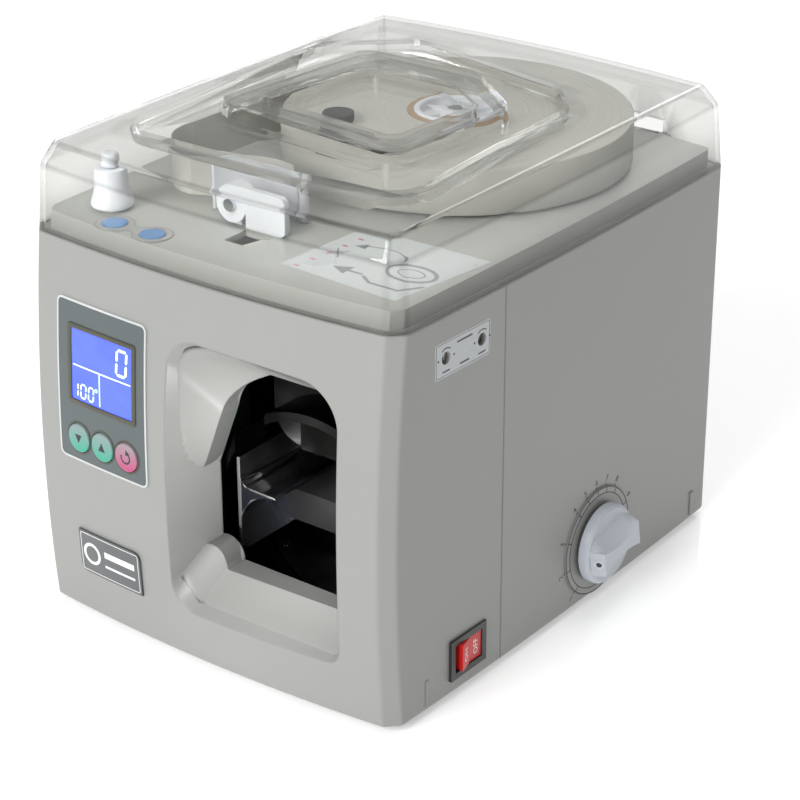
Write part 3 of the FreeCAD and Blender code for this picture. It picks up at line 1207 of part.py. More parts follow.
rods = [rod(f"press_rod_{x}", "Z", "press_rod_radius", (x, "press_rod_y"), "press_rod_low",
            "frame_top - bracket_thick")
        for x in ("press_rod_left", "press_rod_right")]
keep("top_bracket", box("top_bracket", ("press_rod_left - 5", "press_rod_right + 8"),
                        (plate_back, "frame_back_y"),
                        ("frame_top - bracket_thick", "frame_top")))
head = plate("head_block", "Y", ("head_left", "head_low"), ("head_right", "head_high"), "head_front",
             "head_back",
             rounding="head_round", corners=(0, 1))
head_bores = [rod(f"head_bore_{x}", "Z", "press_rod_radius + turn", (x, "press_rod_y"), "press_rod_low - 2",
                  "head_high + 1")
              for x in ("press_rod_left", "press_rod_right")]
keep("press_head", cut("press_head", head, *head_bores))
keep("cutter_blade", plate("cutter_blade", "Y", ("head_left + head_round", "head_low - 1"),
                           ("head_right - head_round", "head_low + 12"),
                           "head_front - 0.8", "head_front"))
pinion_pitch = S.press_teeth * S.gear_module / 2
press_rack_shape = rack(S.head_high - S.head_low + 16, S.gear_module, 6, 5, 0)
press_rack_shape.translate(Vector(S.press_shaft_x - pinion_pitch, S.head_back, S.press_shaft_z))
keep("press_rack", form("press_rack", press_rack_shape))
pinion = gear(S.press_teeth, S.gear_module, S.gear_face, 0, 180)
pinion.translate(Vector(S.press_shaft_x, S.head_back + 0.5, S.press_shaft_z))
press_shaft = rod("press_shaft", "Y", "feed_shaft", ("press_shaft_x", "press_shaft_z"), "head_back + 1",
                  f"{rear_back} - rub / 3")
keep("press_pinion", fuse("press_pinion", form("press_gear", pinion), press_shaft))
press_axis = ("press_shaft_x", "press_shaft_z")
can_end = f"{rear_back} + press_motor_long"
press_can = rod("press_can", "Y", "press_motor_radius", press_axis, rear_back, can_end)
press_tail = rod("press_tail", "Y", "press_motor_radius / 3", press_axis, can_end, f"{can_end} + 3")
press_motor = fuse("press_motor", press_can, press_tail)

# Tape feed under the slot

feed_back = "feed_back_y + bracket_thick"
bracket_wall = box("feed_wall", (f"{pinch_x} - 9", "feed_x + 10"), ("feed_back_y", feed_back),
                   ("feed_z - 20", "feed_z + 9"))
bracket_floor = box("feed_floor", (f"{pinch_x} - 9", "feed_x + 10"), (plate_back, feed_back),
                    ("feed_z - 20", "feed_z - 18"))
floor_slot = box("feed_floor_slot", ("slot_x - 3", "slot_x + 3"), (f"{plate_back} + 2", "feed_back_y - 2"),
                 ("feed_z - 21", "feed_z - 17"))
back_holes = [rod(f"feed_bracket_hole_{name}", "Y", "feed_shaft + turn", (x, nip_z), "feed_back_y - 1",
                  f"{feed_back} + 1")
              for name, x in (("feed", "feed_x"), ("pinch", pinch_x))]
keep("feed_bracket", cut("feed_bracket", fuse("feed_bracket_blank", bracket_wall, bracket_floor),
                         floor_slot, *back_holes))
roller_radius = "(feed_centres - rub) / 2"
gear_front = f"{plate_back} + rub"
gear_back = f"{gear_front} + feed_gear_face"
feed_module = S.feed_centres / S.feed_teeth
for name, x, x_value, twist in (("feed_roller", "feed_x", S.feed_x, 180),
                                ("pinch_roller", pinch_x, S.feed_x - S.feed_centres, 180 / S.feed_teeth)):
    wheel = gear(S.feed_teeth, feed_module, S.feed_gear_face, 0, twist)
    wheel.translate(Vector(x_value, S.frame_front_y + S.frame_thick + S.rub, S.feed_z))
    drum = rod(f"{name}_drum", "Y", roller_radius, (x, nip_z), gear_back, "feed_back_y - rub")
    spindle = rod(f"{name}_journal", "Y", "feed_shaft", (x, nip_z), "frame_front_y", f"{feed_back} - rub / 3")
    keep(name, fuse(name, form(f"{name}_gear", wheel), drum, spindle))
feed_motor = rod("feed_motor", "Y", "feed_motor_radius", ("feed_x", nip_z), feed_back,
                 f"{feed_back} + feed_motor_long")
keep("drive_motors", group("drive_motors", [press_motor, feed_motor]))

# Depth stop behind the rear frame, set by the dial

rod_ends = ("frame_back_y", "depth_rod_end + bracket_thick")
depth_rods = [rod(f"depth_rod_{x}", "Y", "depth_rod_radius", (x, "depth_rod_z"), *rod_ends)
              for x in ("depth_rod_left", "depth_rod_right")]
keep("guide_rods", group("guide_rods", rods + depth_rods))
end_wall = plate("rod_end_wall", "Y", ("depth_rod_left - 8", base_top),
                 ("depth_rod_right + 8", "depth_rod_z + 8"),
                 "depth_rod_end", "depth_rod_end + bracket_thick",
                 discs=[((x, "depth_rod_z"), "depth_rod_radius + turn") for x in ("depth_rod_left",
                                                                                  "depth_rod_right")])
end_foot = box("rod_end_foot", ("depth_rod_left - 8", "depth_rod_right + 8"),
               ("depth_rod_end", "depth_rod_end + 12"),
               (base_top, f"{base_top} + bracket_thick"))
rod_bracket = fuse("rod_bracket", end_wall, end_foot)
depth_pitch = S.depth_teeth * S.gear_module / 2
rack_low = "dial_z + depth_teeth * gear_module / 2 - gear_module"
rack_top = f"{rack_low} + 6"
carriage = box("carriage_block", ("depth_rod_left - 8", "depth_x + depth_face / 2 + 1"),
               ("stop_y", "stop_y + carriage_long"),
               (rack_top, "depth_rod_z + depth_rod_radius + 4"))
stop_wall = box("stop_wall", ("stop_left", "stop_right"), ("stop_y", "stop_y + bracket_thick"),
                ("depth_rod_z", "stop_high"))
carriage_bores = [rod(f"carriage_bore_{x}", "Y", "depth_rod_radius + turn", (x, "depth_rod_z"), "stop_y - 1",
                      "stop_y + carriage_long + 1") for x in ("depth_rod_left", "depth_rod_right")]
depth_rack = rack(S.depth_travel + 16, S.gear_module, S.depth_face, 5, S.depth_travel / 2 - S.depth_spare)
depth_rack.Placement = Placement(
    Vector(S.depth_x + S.depth_face / 2, S.dial_y - S.depth_travel / 2 + S.depth_spare,
           S.dial_z + depth_pitch),
    Rotation(Vector(0, 0, -1), Vector(-1, 0, 0), Vector(0, 1, 0), "XYZ"))
keep("back_stop", cut("back_stop", fuse("stop_blank", carriage, stop_wall, form("depth_rack", depth_rack)),
                      *carriage_bores))
depth_gear = gear(S.depth_teeth, S.gear_module, S.depth_face, 0, 90)
depth_gear.Placement = Placement(Vector(S.depth_x - S.depth_face / 2, S.dial_y, S.dial_z),
                                 Rotation(Vector(0, 0, 1), -90))
ear_low = "depth_x - depth_face / 2 - 6"
ear_high = "depth_x + depth_face / 2 + 4"
keep("dial_shaft", fuse("dial_shaft", form("depth_gear", depth_gear),
                        rod("dial_bar", "X", "dial_shaft_radius", dial_axis, ear_low, "knob_end - 7")))
ears = [box(f"dial_ear_{x}", (x, f"{x} + bracket_thick"), ("dial_y - 10", "dial_y + 10"),
            (base_top, "dial_z + dial_shaft_radius + 3")) for x in (ear_low, ear_high)]
ear_floor = box("dial_ear_floor", (ear_low, f"{ear_high} + bracket_thick"), ("dial_y - 10", "dial_y + 10"),
                (base_top, f"{base_top} + bracket_thick"))
dial_bracket = cut("dial_bracket", fuse("dial_bracket_blank", ear_floor, *ears),
                   rod("dial_ear_bore", "X", "dial_shaft_radius + turn", dial_axis, f"{ear_low} - 1",
                       f"{ear_high} + 5"))
keep("stop_brackets", group("stop_brackets", [rod_bracket, dial_bracket]))

# Electrics

board_foot = "board_left - standoff_long"
upright = box("pcb_upright", (f"{board_foot} - bracket_thick", board_foot), ("board_front", "board_rear"),
              (base_top, "board_high + 5"))
pcb_foot = box("pcb_foot", (board_foot, f"{board_foot} + 12"), ("board_front", "board_rear"),
               (base_top, f"{base_top} + bracket_thick"))
standoffs = [rod(f"standoff_{y}_{z}", "X", "standoff_radius", (y, z), board_foot, "board_left")
             for y in ("board_front + 6", "board_rear - 6") for z in ("board_low + 4", "board_high - 4")]
keep("pcb_bracket", fuse("pcb_bracket", upright, pcb_foot, *standoffs))
board_sheet = box("board_sheet", ("board_left", "board_left + board_thick"),
                  ("board_front + 2", "board_rear - 2"),
                  ("board_low", "board_high"))
# Each chip on the board: its place from the board's front and lower edge, its length, height and thickness
CHIPS = [(34, 50, 14, 14, 2), (6, 10, 12, 24, 8), (56, 12, 18, 18, 12), (58, 70, 16, 16, 10),
         (8, 76, 20, 8, 6)]
chips = []
for number, (along, up, wide, high, tall) in enumerate(CHIPS):
    chips.append(box(f"chip_{number}", ("board_left + board_thick", f"board_left + board_thick + {tall}"),
                     (f"board_front + {along}", f"board_front + {along + wide}"),
                     (f"board_low + {up}", f"board_low + {up + high}")))
keep("main_board", fuse("main_board", board_sheet, *chips))
supply_case = box("supply_case", ("supply_left", "supply_right"), ("supply_front", "supply_back"),
                  (base_top, "supply_top"))
supply_vents = [box(f"supply_vent_{number}", ("supply_left + 8", "supply_right - 8"),
                    (f"supply_front + 10 + {number} * 2 * vent_wide",
                     f"supply_front + 10 + {number} * 2 * vent_wide + vent_wide"),
                    ("supply_top - 1.2", "supply_top + 1")) for number in range(9)]
keep("power_supply", cut("power_supply", supply_case, *supply_vents))
inlet_low = ("inlet_x - inlet_wide / 2", "inlet_z - inlet_high / 2")
inlet_far = ("inlet_x + inlet_wide / 2", "inlet_z + inlet_high / 2")
inlet_back = form("inlet_back", casing_solid(-1.2, S.shell_low, S.shell_top))
casing_back = form("casing_back", casing_solid(0, S.shell_low, S.shell_top))
inlet_body = box("inlet_body", (inlet_low[0], inlet_far[0]), ("inlet_front", "back_y + 5"),
                 (inlet_low[1], inlet_far[1]))
flange = cut("inlet_flange", box("inlet_flange_block", (f"{inlet_low[0]} - 5", f"{inlet_far[0]} + 5"),
                                 ("back_y - 12", "back_y + 5"), (f"{inlet_low[1]} - 4",
                                                                 f"{inlet_far[1]} + 4")), casing_back)
inlet_well = box("inlet_well", (f"{inlet_low[0]} + 1.5", f"{inlet_far[0]} - 1.5"),
                 ("inlet_front + 3", "back_y + 6"),
                 (f"{inlet_low[1]} + 1.5", f"{inlet_far[1]} - 1.5"))
blades = [box(f"inlet_blade_{number}", (f"inlet_x + ({x}) - 1", f"inlet_x + ({x}) + 1"),
              ("inlet_front + 2", "inlet_front + 16"),
              (f"inlet_z + ({z}) - 2.5", f"inlet_z + ({z}) + 2.5")) for number, (x,
                                                                                 z) in enumerate(((-7, -2),
                                                                                                  (0,
                                                                                                   2), (7,
                                                                                                        -2)))]
inlet_shell = cut("inlet_shell", common("inlet_solid", fuse("inlet_blank", inlet_body, flange), inlet_back),
                  inlet_well)
keep("power_inlet", fuse("power_inlet", inlet_shell, *blades))

# Every object is checked before anything is written

doc.recompute()
faults = [thing.Name for thing in doc.Objects if "Invalid" in thing.State or "Error" in thing.State]
for node, thing in pieces.items():
    if thing.Shape.isNull() or not thing.Shape.isValid() or not thing.Shape.Solids:
        faults.append(node)
if faults:
    raise RuntimeError(f"these objects failed: {faults}")
os.makedirs("parts", exist_ok=True)
for node, thing in pieces.items():
    print(node, len(thing.Shape.Solids), round(thing.Shape.Volume, 1))
    thing.Shape.exportStep(f"parts/{node}.step")
print(len(pieces), "nodes")
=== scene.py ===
# %% [markdown]
# # A banknote bundling machine, dressed in Blender
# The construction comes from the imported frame: every casing, knob and shaft is already at its real size.
# This lesson adds what the eye sees: finishes, rounded edges, the clear lid, printed scales and the lit
# display.

# %% Load the frame
import json
import math
import random

import bmesh
import bpy
from mathutils import Matrix, Vector
from mathutils.geometry import delaunay_2d_cdt

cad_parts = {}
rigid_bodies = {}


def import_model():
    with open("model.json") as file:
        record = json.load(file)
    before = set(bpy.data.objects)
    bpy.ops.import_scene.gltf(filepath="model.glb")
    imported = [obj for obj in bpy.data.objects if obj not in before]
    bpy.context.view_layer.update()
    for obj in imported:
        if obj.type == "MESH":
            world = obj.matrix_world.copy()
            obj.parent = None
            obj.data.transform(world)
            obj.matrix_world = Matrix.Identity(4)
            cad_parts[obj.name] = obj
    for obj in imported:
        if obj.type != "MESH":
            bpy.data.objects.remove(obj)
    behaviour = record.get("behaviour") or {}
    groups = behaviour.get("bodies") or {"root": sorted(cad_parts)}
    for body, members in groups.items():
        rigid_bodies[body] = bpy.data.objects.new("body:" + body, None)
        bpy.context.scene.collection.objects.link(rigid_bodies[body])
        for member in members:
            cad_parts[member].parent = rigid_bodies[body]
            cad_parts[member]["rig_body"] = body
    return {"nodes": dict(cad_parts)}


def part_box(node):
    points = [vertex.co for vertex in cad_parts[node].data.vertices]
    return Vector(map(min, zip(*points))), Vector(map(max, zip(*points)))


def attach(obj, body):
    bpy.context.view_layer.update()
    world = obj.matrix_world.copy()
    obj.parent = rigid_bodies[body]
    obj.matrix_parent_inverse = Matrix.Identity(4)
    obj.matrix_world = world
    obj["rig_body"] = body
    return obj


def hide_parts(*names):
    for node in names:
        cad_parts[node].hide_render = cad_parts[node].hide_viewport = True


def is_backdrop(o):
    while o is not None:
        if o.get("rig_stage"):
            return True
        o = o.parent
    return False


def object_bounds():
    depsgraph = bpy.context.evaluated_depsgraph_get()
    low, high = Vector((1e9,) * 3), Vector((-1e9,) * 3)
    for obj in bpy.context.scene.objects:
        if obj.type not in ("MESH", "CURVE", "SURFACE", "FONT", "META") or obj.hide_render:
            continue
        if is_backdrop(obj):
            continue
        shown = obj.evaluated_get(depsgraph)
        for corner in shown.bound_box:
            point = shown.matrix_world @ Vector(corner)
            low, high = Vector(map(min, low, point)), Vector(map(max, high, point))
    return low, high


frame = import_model()
nodes = frame["nodes"]
cad_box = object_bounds()
MM = 0.001
print("nodes in the frame:", len(nodes))

# %% [markdown]
# The dial knob sticks out on the right of the casing. The part's origin is the middle of everything, knob
# included, so the casing's own middle is found first. All places below are then given from the middle of
# the casing, in millimetres, as on a drawing.

# %% Find the middle of the casing
rear_low, rear_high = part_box("rear_cover")
CASING_X = (rear_low.x + rear_high.x) / 2


def at(x, y, z):
    """A place given in millimetres from the middle of the casing, in the frame's metres."""
    return Vector((CASING_X + x * MM, y * MM, z * MM))


print("middle of the casing at x =", round(CASING_X / MM, 2), "mm")

# %% [markdown]
# The camera stands where the photographer stood. A long lens keeps the upright edges nearly parallel.
# Azimuth, elevation and roll give its directions, and two small sideways offsets frame the machine.

# %% Set the camera
AZIMUTH, ELEVATION, ROLL = (math.radians(angle) for angle in (37.3209, 25.5331, -0.1799))
CAMERA_DISTANCE = 1143.666
CAMERA_OFFSET = (6.7172, 72.0104)
LENS_MM = 110.13


def added(name, data):
    """A new object in the scene."""
    thing = bpy.data.objects.new(name, data)
    bpy.context.scene.collection.objects.link(thing)
    return thing


camera_back = Vector((math.sin(AZIMUTH) * math.cos(ELEVATION), -math.cos(AZIMUTH) * math.cos(ELEVATION),
                      math.sin(ELEVATION)))
level_right = Vector((math.cos(AZIMUTH), math.sin(AZIMUTH), 0))
level_up = camera_back.cross(level_right)
camera_right = math.cos(ROLL) * level_right + math.sin(ROLL) * level_up
camera_up = -math.sin(ROLL) * level_right + math.cos(ROLL) * level_up
turn = Matrix((camera_right, camera_up, camera_back)).transposed()
place = camera_right * CAMERA_OFFSET[0] + camera_up * CAMERA_OFFSET[1] + camera_back * CAMERA_DISTANCE
camera = added("camera", bpy.data.cameras.new("camera"))
camera.matrix_world = Matrix.Translation(at(*place)) @ turn.to_4x4()
camera.data.lens = LENS_MM
camera.data.sensor_width = 36
camera.data.clip_start = 0.05
camera.data.clip_end = 20
bpy.context.scene.camera = camera
print("camera at", [round(value, 3) for value in camera.location])

# %% [markdown]
# The machine stands on a plain pale floor. A little gloss gives the faint reflection that a white studio
# table shows, and a little light of its own keeps the floor as pale as the background.

# %% Lay the floor
FLOOR_HALF = 6
FLOOR_COLOUR, FLOOR_GLOSS, FLOOR_GLOW = (0.97, 0.97, 0.97), 0.08, 0.30


def principled(name, colour, roughness, **sockets):
    """A new material with one Principled shader, its plain values set on the shader's own sockets."""
    material = bpy.data.materials.new(name)
    material.use_nodes = True
    shader = material.node_tree.nodes["Principled BSDF"]
    shader.inputs["Base Color"].default_value = (*colour, 1)
    shader.inputs["Roughness"].default_value = roughness
    for socket, value in sockets.items():
        shader.inputs[socket.replace("_", " ")].default_value = value
    return material


floor_mesh = bpy.data.meshes.new("floor")
floor_mesh.from_pydata([(-FLOOR_HALF, -FLOOR_HALF, 0), (FLOOR_HALF, -FLOOR_HALF, 0),
                        (FLOOR_HALF, FLOOR_HALF, 0), (-FLOOR_HALF, FLOOR_HALF, 0)], [], [(0, 1, 2, 3)])
floor_mesh.materials.append(principled("pale_floor", FLOOR_COLOUR, FLOOR_GLOSS, Emission_Color=(1, 1, 1, 1),
                                       Emission_Strength=FLOOR_GLOW))
floor = added("floor", floor_mesh)
floor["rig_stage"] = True
print("floor:", 2 * FLOOR_HALF, "m wide")

# %% [markdown]
# One large soft light straight ahead makes the front bright and leaves the right side in shade, as in the
# photograph, and the pale world fills the rest. A very small lamp inside the mouth stands for the light
# that its right wall throws onto the left one. Each lamp has a spot, a size in metres and a power in
# watts, and the lamp in the mouth has an aim of its own.

# %% Set the lights
WORLD_LIGHT = 0.42
MACHINE_AIM = Vector((0, 0, 0.1))
SOFT_LIGHTS = {
    "key": ((-0.05, -1.75, 1.0), 1.3, 33),
    "top": ((0.0, 0.35, 1.9), 1.2, 8),
    "back_rim": ((-0.4, 1.6, 1.2), 0.9, 6),
}
MOUTH_LAMP = (at(56, -119, 104), at(-16, -114, 66), 0.02, 0.055)


def soft_light(name, spot, aim, size, power, shape="DISK"):
    """An area lamp that shines from a spot towards an aim."""
    lamp = added(name, bpy.data.lights.new(name, "AREA"))
    lamp.location = spot
    lamp.rotation_euler = (aim - spot).to_track_quat("-Z", "Y").to_euler()
    lamp.data.shape = shape
    lamp.data.size = size
    lamp.data.energy = power
    return lamp


world = bpy.data.worlds.new("studio")
bpy.context.scene.world = world
world.use_nodes = True
world.node_tree.nodes["Background"].inputs["Color"].default_value = (1, 1, 1, 1)
world.node_tree.nodes["Background"].inputs["Strength"].default_value = WORLD_LIGHT
for name, (spot, size, power) in SOFT_LIGHTS.items():
    soft_light(name, Vector(spot), MACHINE_AIM, size, power)
soft_light("mouth", *MOUTH_LAMP, "SQUARE").visible_camera = False
bpy.context.scene.view_settings.view_transform = "Standard"
print("lights:", ", ".join(SOFT_LIGHTS), "and the small lamp in the mouth")

# %% [markdown]
# Every finish is built from the same few steps: a Principled shader whose colour, roughness and bump
# change over the surface. The helper below adds a shader node and fills its sockets, either with a number
# or with a link.

# %% Write the shader helpers
def put(tree, kind, *values, settings=None, **named):
    """One shader node: plain values and links go into its sockets in order, or by socket name."""
    node = tree.nodes.new("ShaderNode" + kind)
    for key, value in (settings or {}).items():
        setattr(node, key, value)
    pairs = list(zip(node.inputs, values))
    pairs += [(node.inputs[key.replace("_", " ")], value) for key, value in named.items()]
    for socket, value in pairs:
        if isinstance(value, bpy.types.NodeSocket):
            tree.links.new(value, socket)
        elif value is not None:
            socket.default_value = value
    return node


def maths(tree, operation, *values):
    """One Math node's result."""
    return put(tree, "Math", *values, settings={"operation": operation}).outputs[0]


def ramp(tree, factor, stops):
    """A colour ramp with stops given as (place, colour)."""
    node = put(tree, "ValToRGB", factor)
    node.color_ramp.elements[0].position = stops[0][0]
    node.color_ramp.elements[0].color = (*stops[0][1], 1)
    node.color_ramp.elements[1].position = stops[-1][0]
    node.color_ramp.elements[1].color = (*stops[-1][1], 1)
    for place, colour in stops[1:-1]:
        node.color_ramp.elements.new(place).color = (*colour, 1)
    return node.outputs["Color"]


def new_group(name, inputs, outputs):
    """An empty shader group with named number inputs and outputs."""
    tree = bpy.data.node_groups.new(name, "ShaderNodeTree")
    for label, value in inputs.items():
        socket = tree.interface.new_socket(label, in_out="INPUT", socket_type="NodeSocketFloat")
        socket.default_value = value
    for label in outputs:
        tree.interface.new_socket(label, in_out="OUTPUT", socket_type="NodeSocketFloat")
    return tree, tree.nodes.new("NodeGroupInput").outputs, tree.nodes.new("NodeGroupOutput").inputs


print("shader helpers:", put.__name__, maths.__name__, ramp.__name__, new_group.__name__)

# %% [markdown]
# Moulded plastic is never one colour. It has a fine spark-eroded grain, a few tenths of a millimetre
# across, and large, faint clouds from how it cooled and was handled. Both are in one shader group,
# because nearly every finish on the machine uses them with its own values.

# %% Make the grain group
grain_group, grain_in, grain_out = new_group(
    "surface_grain", {"Grain per Metre": 2500, "Clouds per Metre": 14, "Streak": 1}, ("Clouds", "Height"))
coordinates = put(grain_group, "TexCoord").outputs["Object"]
stretch = put(grain_group, "CombineXYZ", 1.0, 1.0, grain_in["Streak"]).outputs[0]
streaked = put(grain_group, "VectorMath", coordinates, stretch, settings={"operation": "MULTIPLY"}).outputs[0]
fine = put(grain_group, "TexNoise", Vector=streaked, Scale=grain_in["Grain per Metre"], Detail=2.0)
cloud = put(grain_group, "TexNoise", Vector=coordinates, Scale=grain_in["Clouds per Metre"], Detail=5.0,
            Roughness=0.6)
grain_group.links.new(cloud.outputs[0], grain_out["Clouds"])
grain_group.links.new(fine.outputs[0], grain_out["Height"])


def grained(tree, grain=2500, clouds=14, streak=1):
    """The grain group placed in a material with its own values."""
    surface = put(tree, "Group", settings={"node_tree": grain_group})
    surface.inputs["Grain per Metre"].default_value = grain
    surface.inputs["Clouds per Metre"].default_value = clouds
    surface.inputs["Streak"].default_value = streak
    return surface.outputs


print("shader group:", grain_group.name)

# %% [markdown]
# Edges that hands and cloths rub get paler. Pointiness tells how sharp the surface is at a place, and a
# noise breaks the wear into patches.

# %% Make the wear group
SHARP, WEAR_GAIN = 0.53, 12.0
wear_group, wear_in, wear_out = new_group("edge_wear", {"Reach": SHARP, "Patch per Metre": 90}, ("Wear",))
sharpness = put(wear_group, "NewGeometry").outputs["Pointiness"]
patches = put(wear_group, "TexNoise", Vector=put(wear_group, "TexCoord").outputs["Object"],
              Scale=wear_in["Patch per Metre"], Detail=4.0).outputs[0]
lift = maths(wear_group, "MULTIPLY", maths(wear_group, "SUBTRACT", sharpness, wear_in["Reach"]), WEAR_GAIN)
worn = maths(wear_group, "MULTIPLY", lift, patches)
wear_group.links.new(put(wear_group, "Clamp", worn).outputs[0], wear_out["Wear"])
print("shader group:", wear_group.name)

# %% [markdown]
# One function makes each solid finish. It takes the darkest and lightest colour that the clouds move
# between, the roughness range, how fine and deep the grain is, how much the edges are worn, and the
# radius that a Bevel node rounds them by. Depths are in metres and the edge radius in millimetres.

# %% Write the finish function
CLOUD_LOW, CLOUD_HIGH = 0.3, 0.7
PALER = 1.25


def finish(name, dark, light, rough, grain=2500, depth=0.00002, clouds=14, streak=1, wear=0, edge=0,
           **sockets):
    """A finish whose colour and roughness drift with the clouds and whose bump is the grain."""
    material = principled(name, light, rough[1], **sockets)
    tree = material.node_tree
    shader = tree.nodes["Principled BSDF"]
    surface = grained(tree, grain, clouds, streak)
    colour = ramp(tree, surface["Clouds"], [(CLOUD_LOW, dark), (CLOUD_HIGH, light)])
    if wear:
        rubbed = put(tree, "Group", settings={"node_tree": wear_group}).outputs["Wear"]
        worn_colour = tuple(min(1, value * PALER + 0.04) for value in light)
        colour = put(tree, "MixRGB", maths(tree, "MULTIPLY", rubbed, wear), colour,
                     (*worn_colour, 1)).outputs[0]
    tree.links.new(colour, shader.inputs["Base Color"])
    roughness = put(tree, "MapRange", surface["Clouds"], CLOUD_LOW, CLOUD_HIGH, *rough).outputs[0]
    tree.links.new(roughness, shader.inputs["Roughness"])
    bump = put(tree, "Bump", Strength=1.0, Distance=depth, Height=surface["Height"])
    if edge:
        rounded = put(tree, "Bevel", Radius=edge * MM, settings={"samples": 6})
        tree.links.new(rounded.outputs[0], bump.inputs["Normal"])
    tree.links.new(bump.outputs[0], shader.inputs["Normal"])
    return material


FINISHES = {}


def mix(table):
    """A finish for each row of a table: dark colour, light colour, roughness range and what else differs."""
    for name, (*colours, more) in table.items():
        FINISHES[name] = finish(name, *colours, **more)
    print("finishes mixed:", ", ".join(table))


# %% [markdown]
# The casing is a warm, pale grey ABS with a satin grain, whose edges the finish rounds. The deck is the
# same plastic, smoother and a shade lighter. The duct behind the mouth gets a darker grey, which is
# painted shade for its recess. White acetal and nylon parts are a little bluer; rollers, hub and knob
# are made of them. Dark plastics and rubber follow.

# %% Mix the plastics
mix({
    "casing_plastic": ((0.277, 0.281, 0.268), (0.289, 0.293, 0.280), (0.34, 0.42),
                       {"depth": 0.00001, "edge": 1.6}),
    "deck_plastic": ((0.305, 0.313, 0.294), (0.320, 0.328, 0.310), (0.34, 0.42), {"depth": 0.000004}),
    "white_nylon": ((0.58, 0.60, 0.64), (0.62, 0.64, 0.68), (0.28, 0.38),
                    {"grain": 1800, "depth": 0.00001, "Subsurface_Weight": 0.08, "Subsurface_Scale": 0.002}),
    "knob_plastic": ((0.47, 0.50, 0.55), (0.51, 0.54, 0.59), (0.30, 0.40),
                     {"grain": 1800, "depth": 0.00001, "Subsurface_Weight": 0.08, "Subsurface_Scale": 0.002}),
    "black_plastic": ((0.012, 0.012, 0.013), (0.030, 0.030, 0.032), (0.28, 0.42), {"wear": 0.5}),
    "dark_bezel": ((0.050, 0.050, 0.032), (0.068, 0.068, 0.045), (0.30, 0.40), {}),
    # Painted shade: the duct's darker grey stands for the shade in the mouth's recess.
    "painted_shade_duct": ((0.150, 0.153, 0.146), (0.165, 0.168, 0.161), (0.38, 0.46), {"depth": 0.00001}),
    "rubber": ((0.018, 0.018, 0.018), (0.035, 0.034, 0.032), (0.7, 0.85), {"grain": 1500, "depth": 0.00006}),
})

# %% [markdown]
# The keys, the rocker, the films and the inks are brighter or thinner than the casing, and their grain is
# finer. The circuit boards are only seen when a cover is off.

# %% Mix the keys, films and inks
mix({
    "panel_film": ((0.082, 0.098, 0.101), (0.088, 0.106, 0.110), (0.30, 0.40),
                   {"grain": 4000, "depth": 0.00001}),
    "panel_rim": ((0.48, 0.50, 0.50), (0.56, 0.57, 0.57), (0.3, 0.4), {"grain": 4000}),
    "rose_key": ((0.42, 0.09, 0.16), (0.52, 0.13, 0.22), (0.3, 0.4), {"grain": 3000}),
    "blue_key": ((0.035, 0.14, 0.34), (0.07, 0.22, 0.45), (0.15, 0.22), {"grain": 3000}),
    "red_rocker": ((0.42, 0.008, 0.008), (0.60, 0.014, 0.012), (0.22, 0.32), {"grain": 3000, "wear": 0.4}),
    "label_grey": ((0.26, 0.26, 0.25), (0.29, 0.29, 0.28), (0.25, 0.35), {"grain": 4000}),
    "label_film": ((0.44, 0.465, 0.475), (0.47, 0.495, 0.505), (0.25, 0.32), {"grain": 4000}),
    "print_black": ((0.015, 0.015, 0.016), (0.03, 0.03, 0.032), (0.4, 0.5), {"grain": 4000}),
    "print_grey": ((0.16, 0.17, 0.18), (0.22, 0.23, 0.24), (0.4, 0.5), {"grain": 4000}),
    "print_white": ((0.72, 0.72, 0.72), (0.82, 0.82, 0.82), (0.4, 0.5), {"grain": 4000}),
    "board_green": ((0.012, 0.085, 0.035), (0.02, 0.14, 0.06), (0.3, 0.45), {"grain": 1500}),
})

# %% [markdown]
# The tape is bleached kraft paper, wound edge on edge, so the roll shows fine rings. Its core is brown
# board. Metals are brushed or rolled: their grain is stretched along one direction.

# %% Mix the papers and metals
mix({
    "tape_paper": ((0.375, 0.372, 0.345), (0.41, 0.405, 0.378), (0.7, 0.85),
                   {"grain": 900, "depth": 0.00004, "clouds": 25}),
    "core_board": ((0.24, 0.15, 0.08), (0.34, 0.23, 0.13), (0.8, 0.95), {"grain": 700, "depth": 0.0001}),
    "rolled_steel": ((0.34, 0.34, 0.34), (0.50, 0.50, 0.49), (0.26, 0.42),
                     {"grain": 500, "streak": 0.08, "clouds": 30, "Metallic": 1}),
    "bright_steel": ((0.62, 0.62, 0.63), (0.78, 0.78, 0.78), (0.10, 0.22),
                     {"grain": 900, "streak": 0.1, "depth": 0.00001, "clouds": 35, "Metallic": 1}),
    "blued_steel": ((0.05, 0.06, 0.08), (0.12, 0.13, 0.16), (0.22, 0.38),
                    {"grain": 700, "streak": 0.2, "clouds": 40, "Metallic": 1}),
    "dark_steel": ((0.010, 0.010, 0.010), (0.026, 0.025, 0.024), (0.16, 0.30),
                   {"grain": 700, "streak": 0.2, "clouds": 40, "Metallic": 1}),
    "name_plate_metal": ((0.13, 0.135, 0.14), (0.18, 0.185, 0.19), (0.30, 0.42),
                         {"grain": 2200, "streak": 0.03, "Metallic": 0.6}),
    "brass": ((0.46, 0.30, 0.09), (0.62, 0.43, 0.16), (0.2, 0.35), {"grain": 700, "Metallic": 1}),
    "motor_steel": ((0.30, 0.29, 0.27), (0.42, 0.41, 0.38), (0.3, 0.45),
                    {"grain": 600, "clouds": 40, "Metallic": 1}),
})

# %% [markdown]
# The imported model brings one object for each construction part. Most have the right shape already and
# only need their finish. The helpers below make a piece of the scene from a mesh, attach each piece to
# its body and hide the construction parts that it stands for.

# %% Write the helpers for pieces
def body_of(node):
    """The body that a construction part moves with."""
    return nodes[node]["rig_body"]


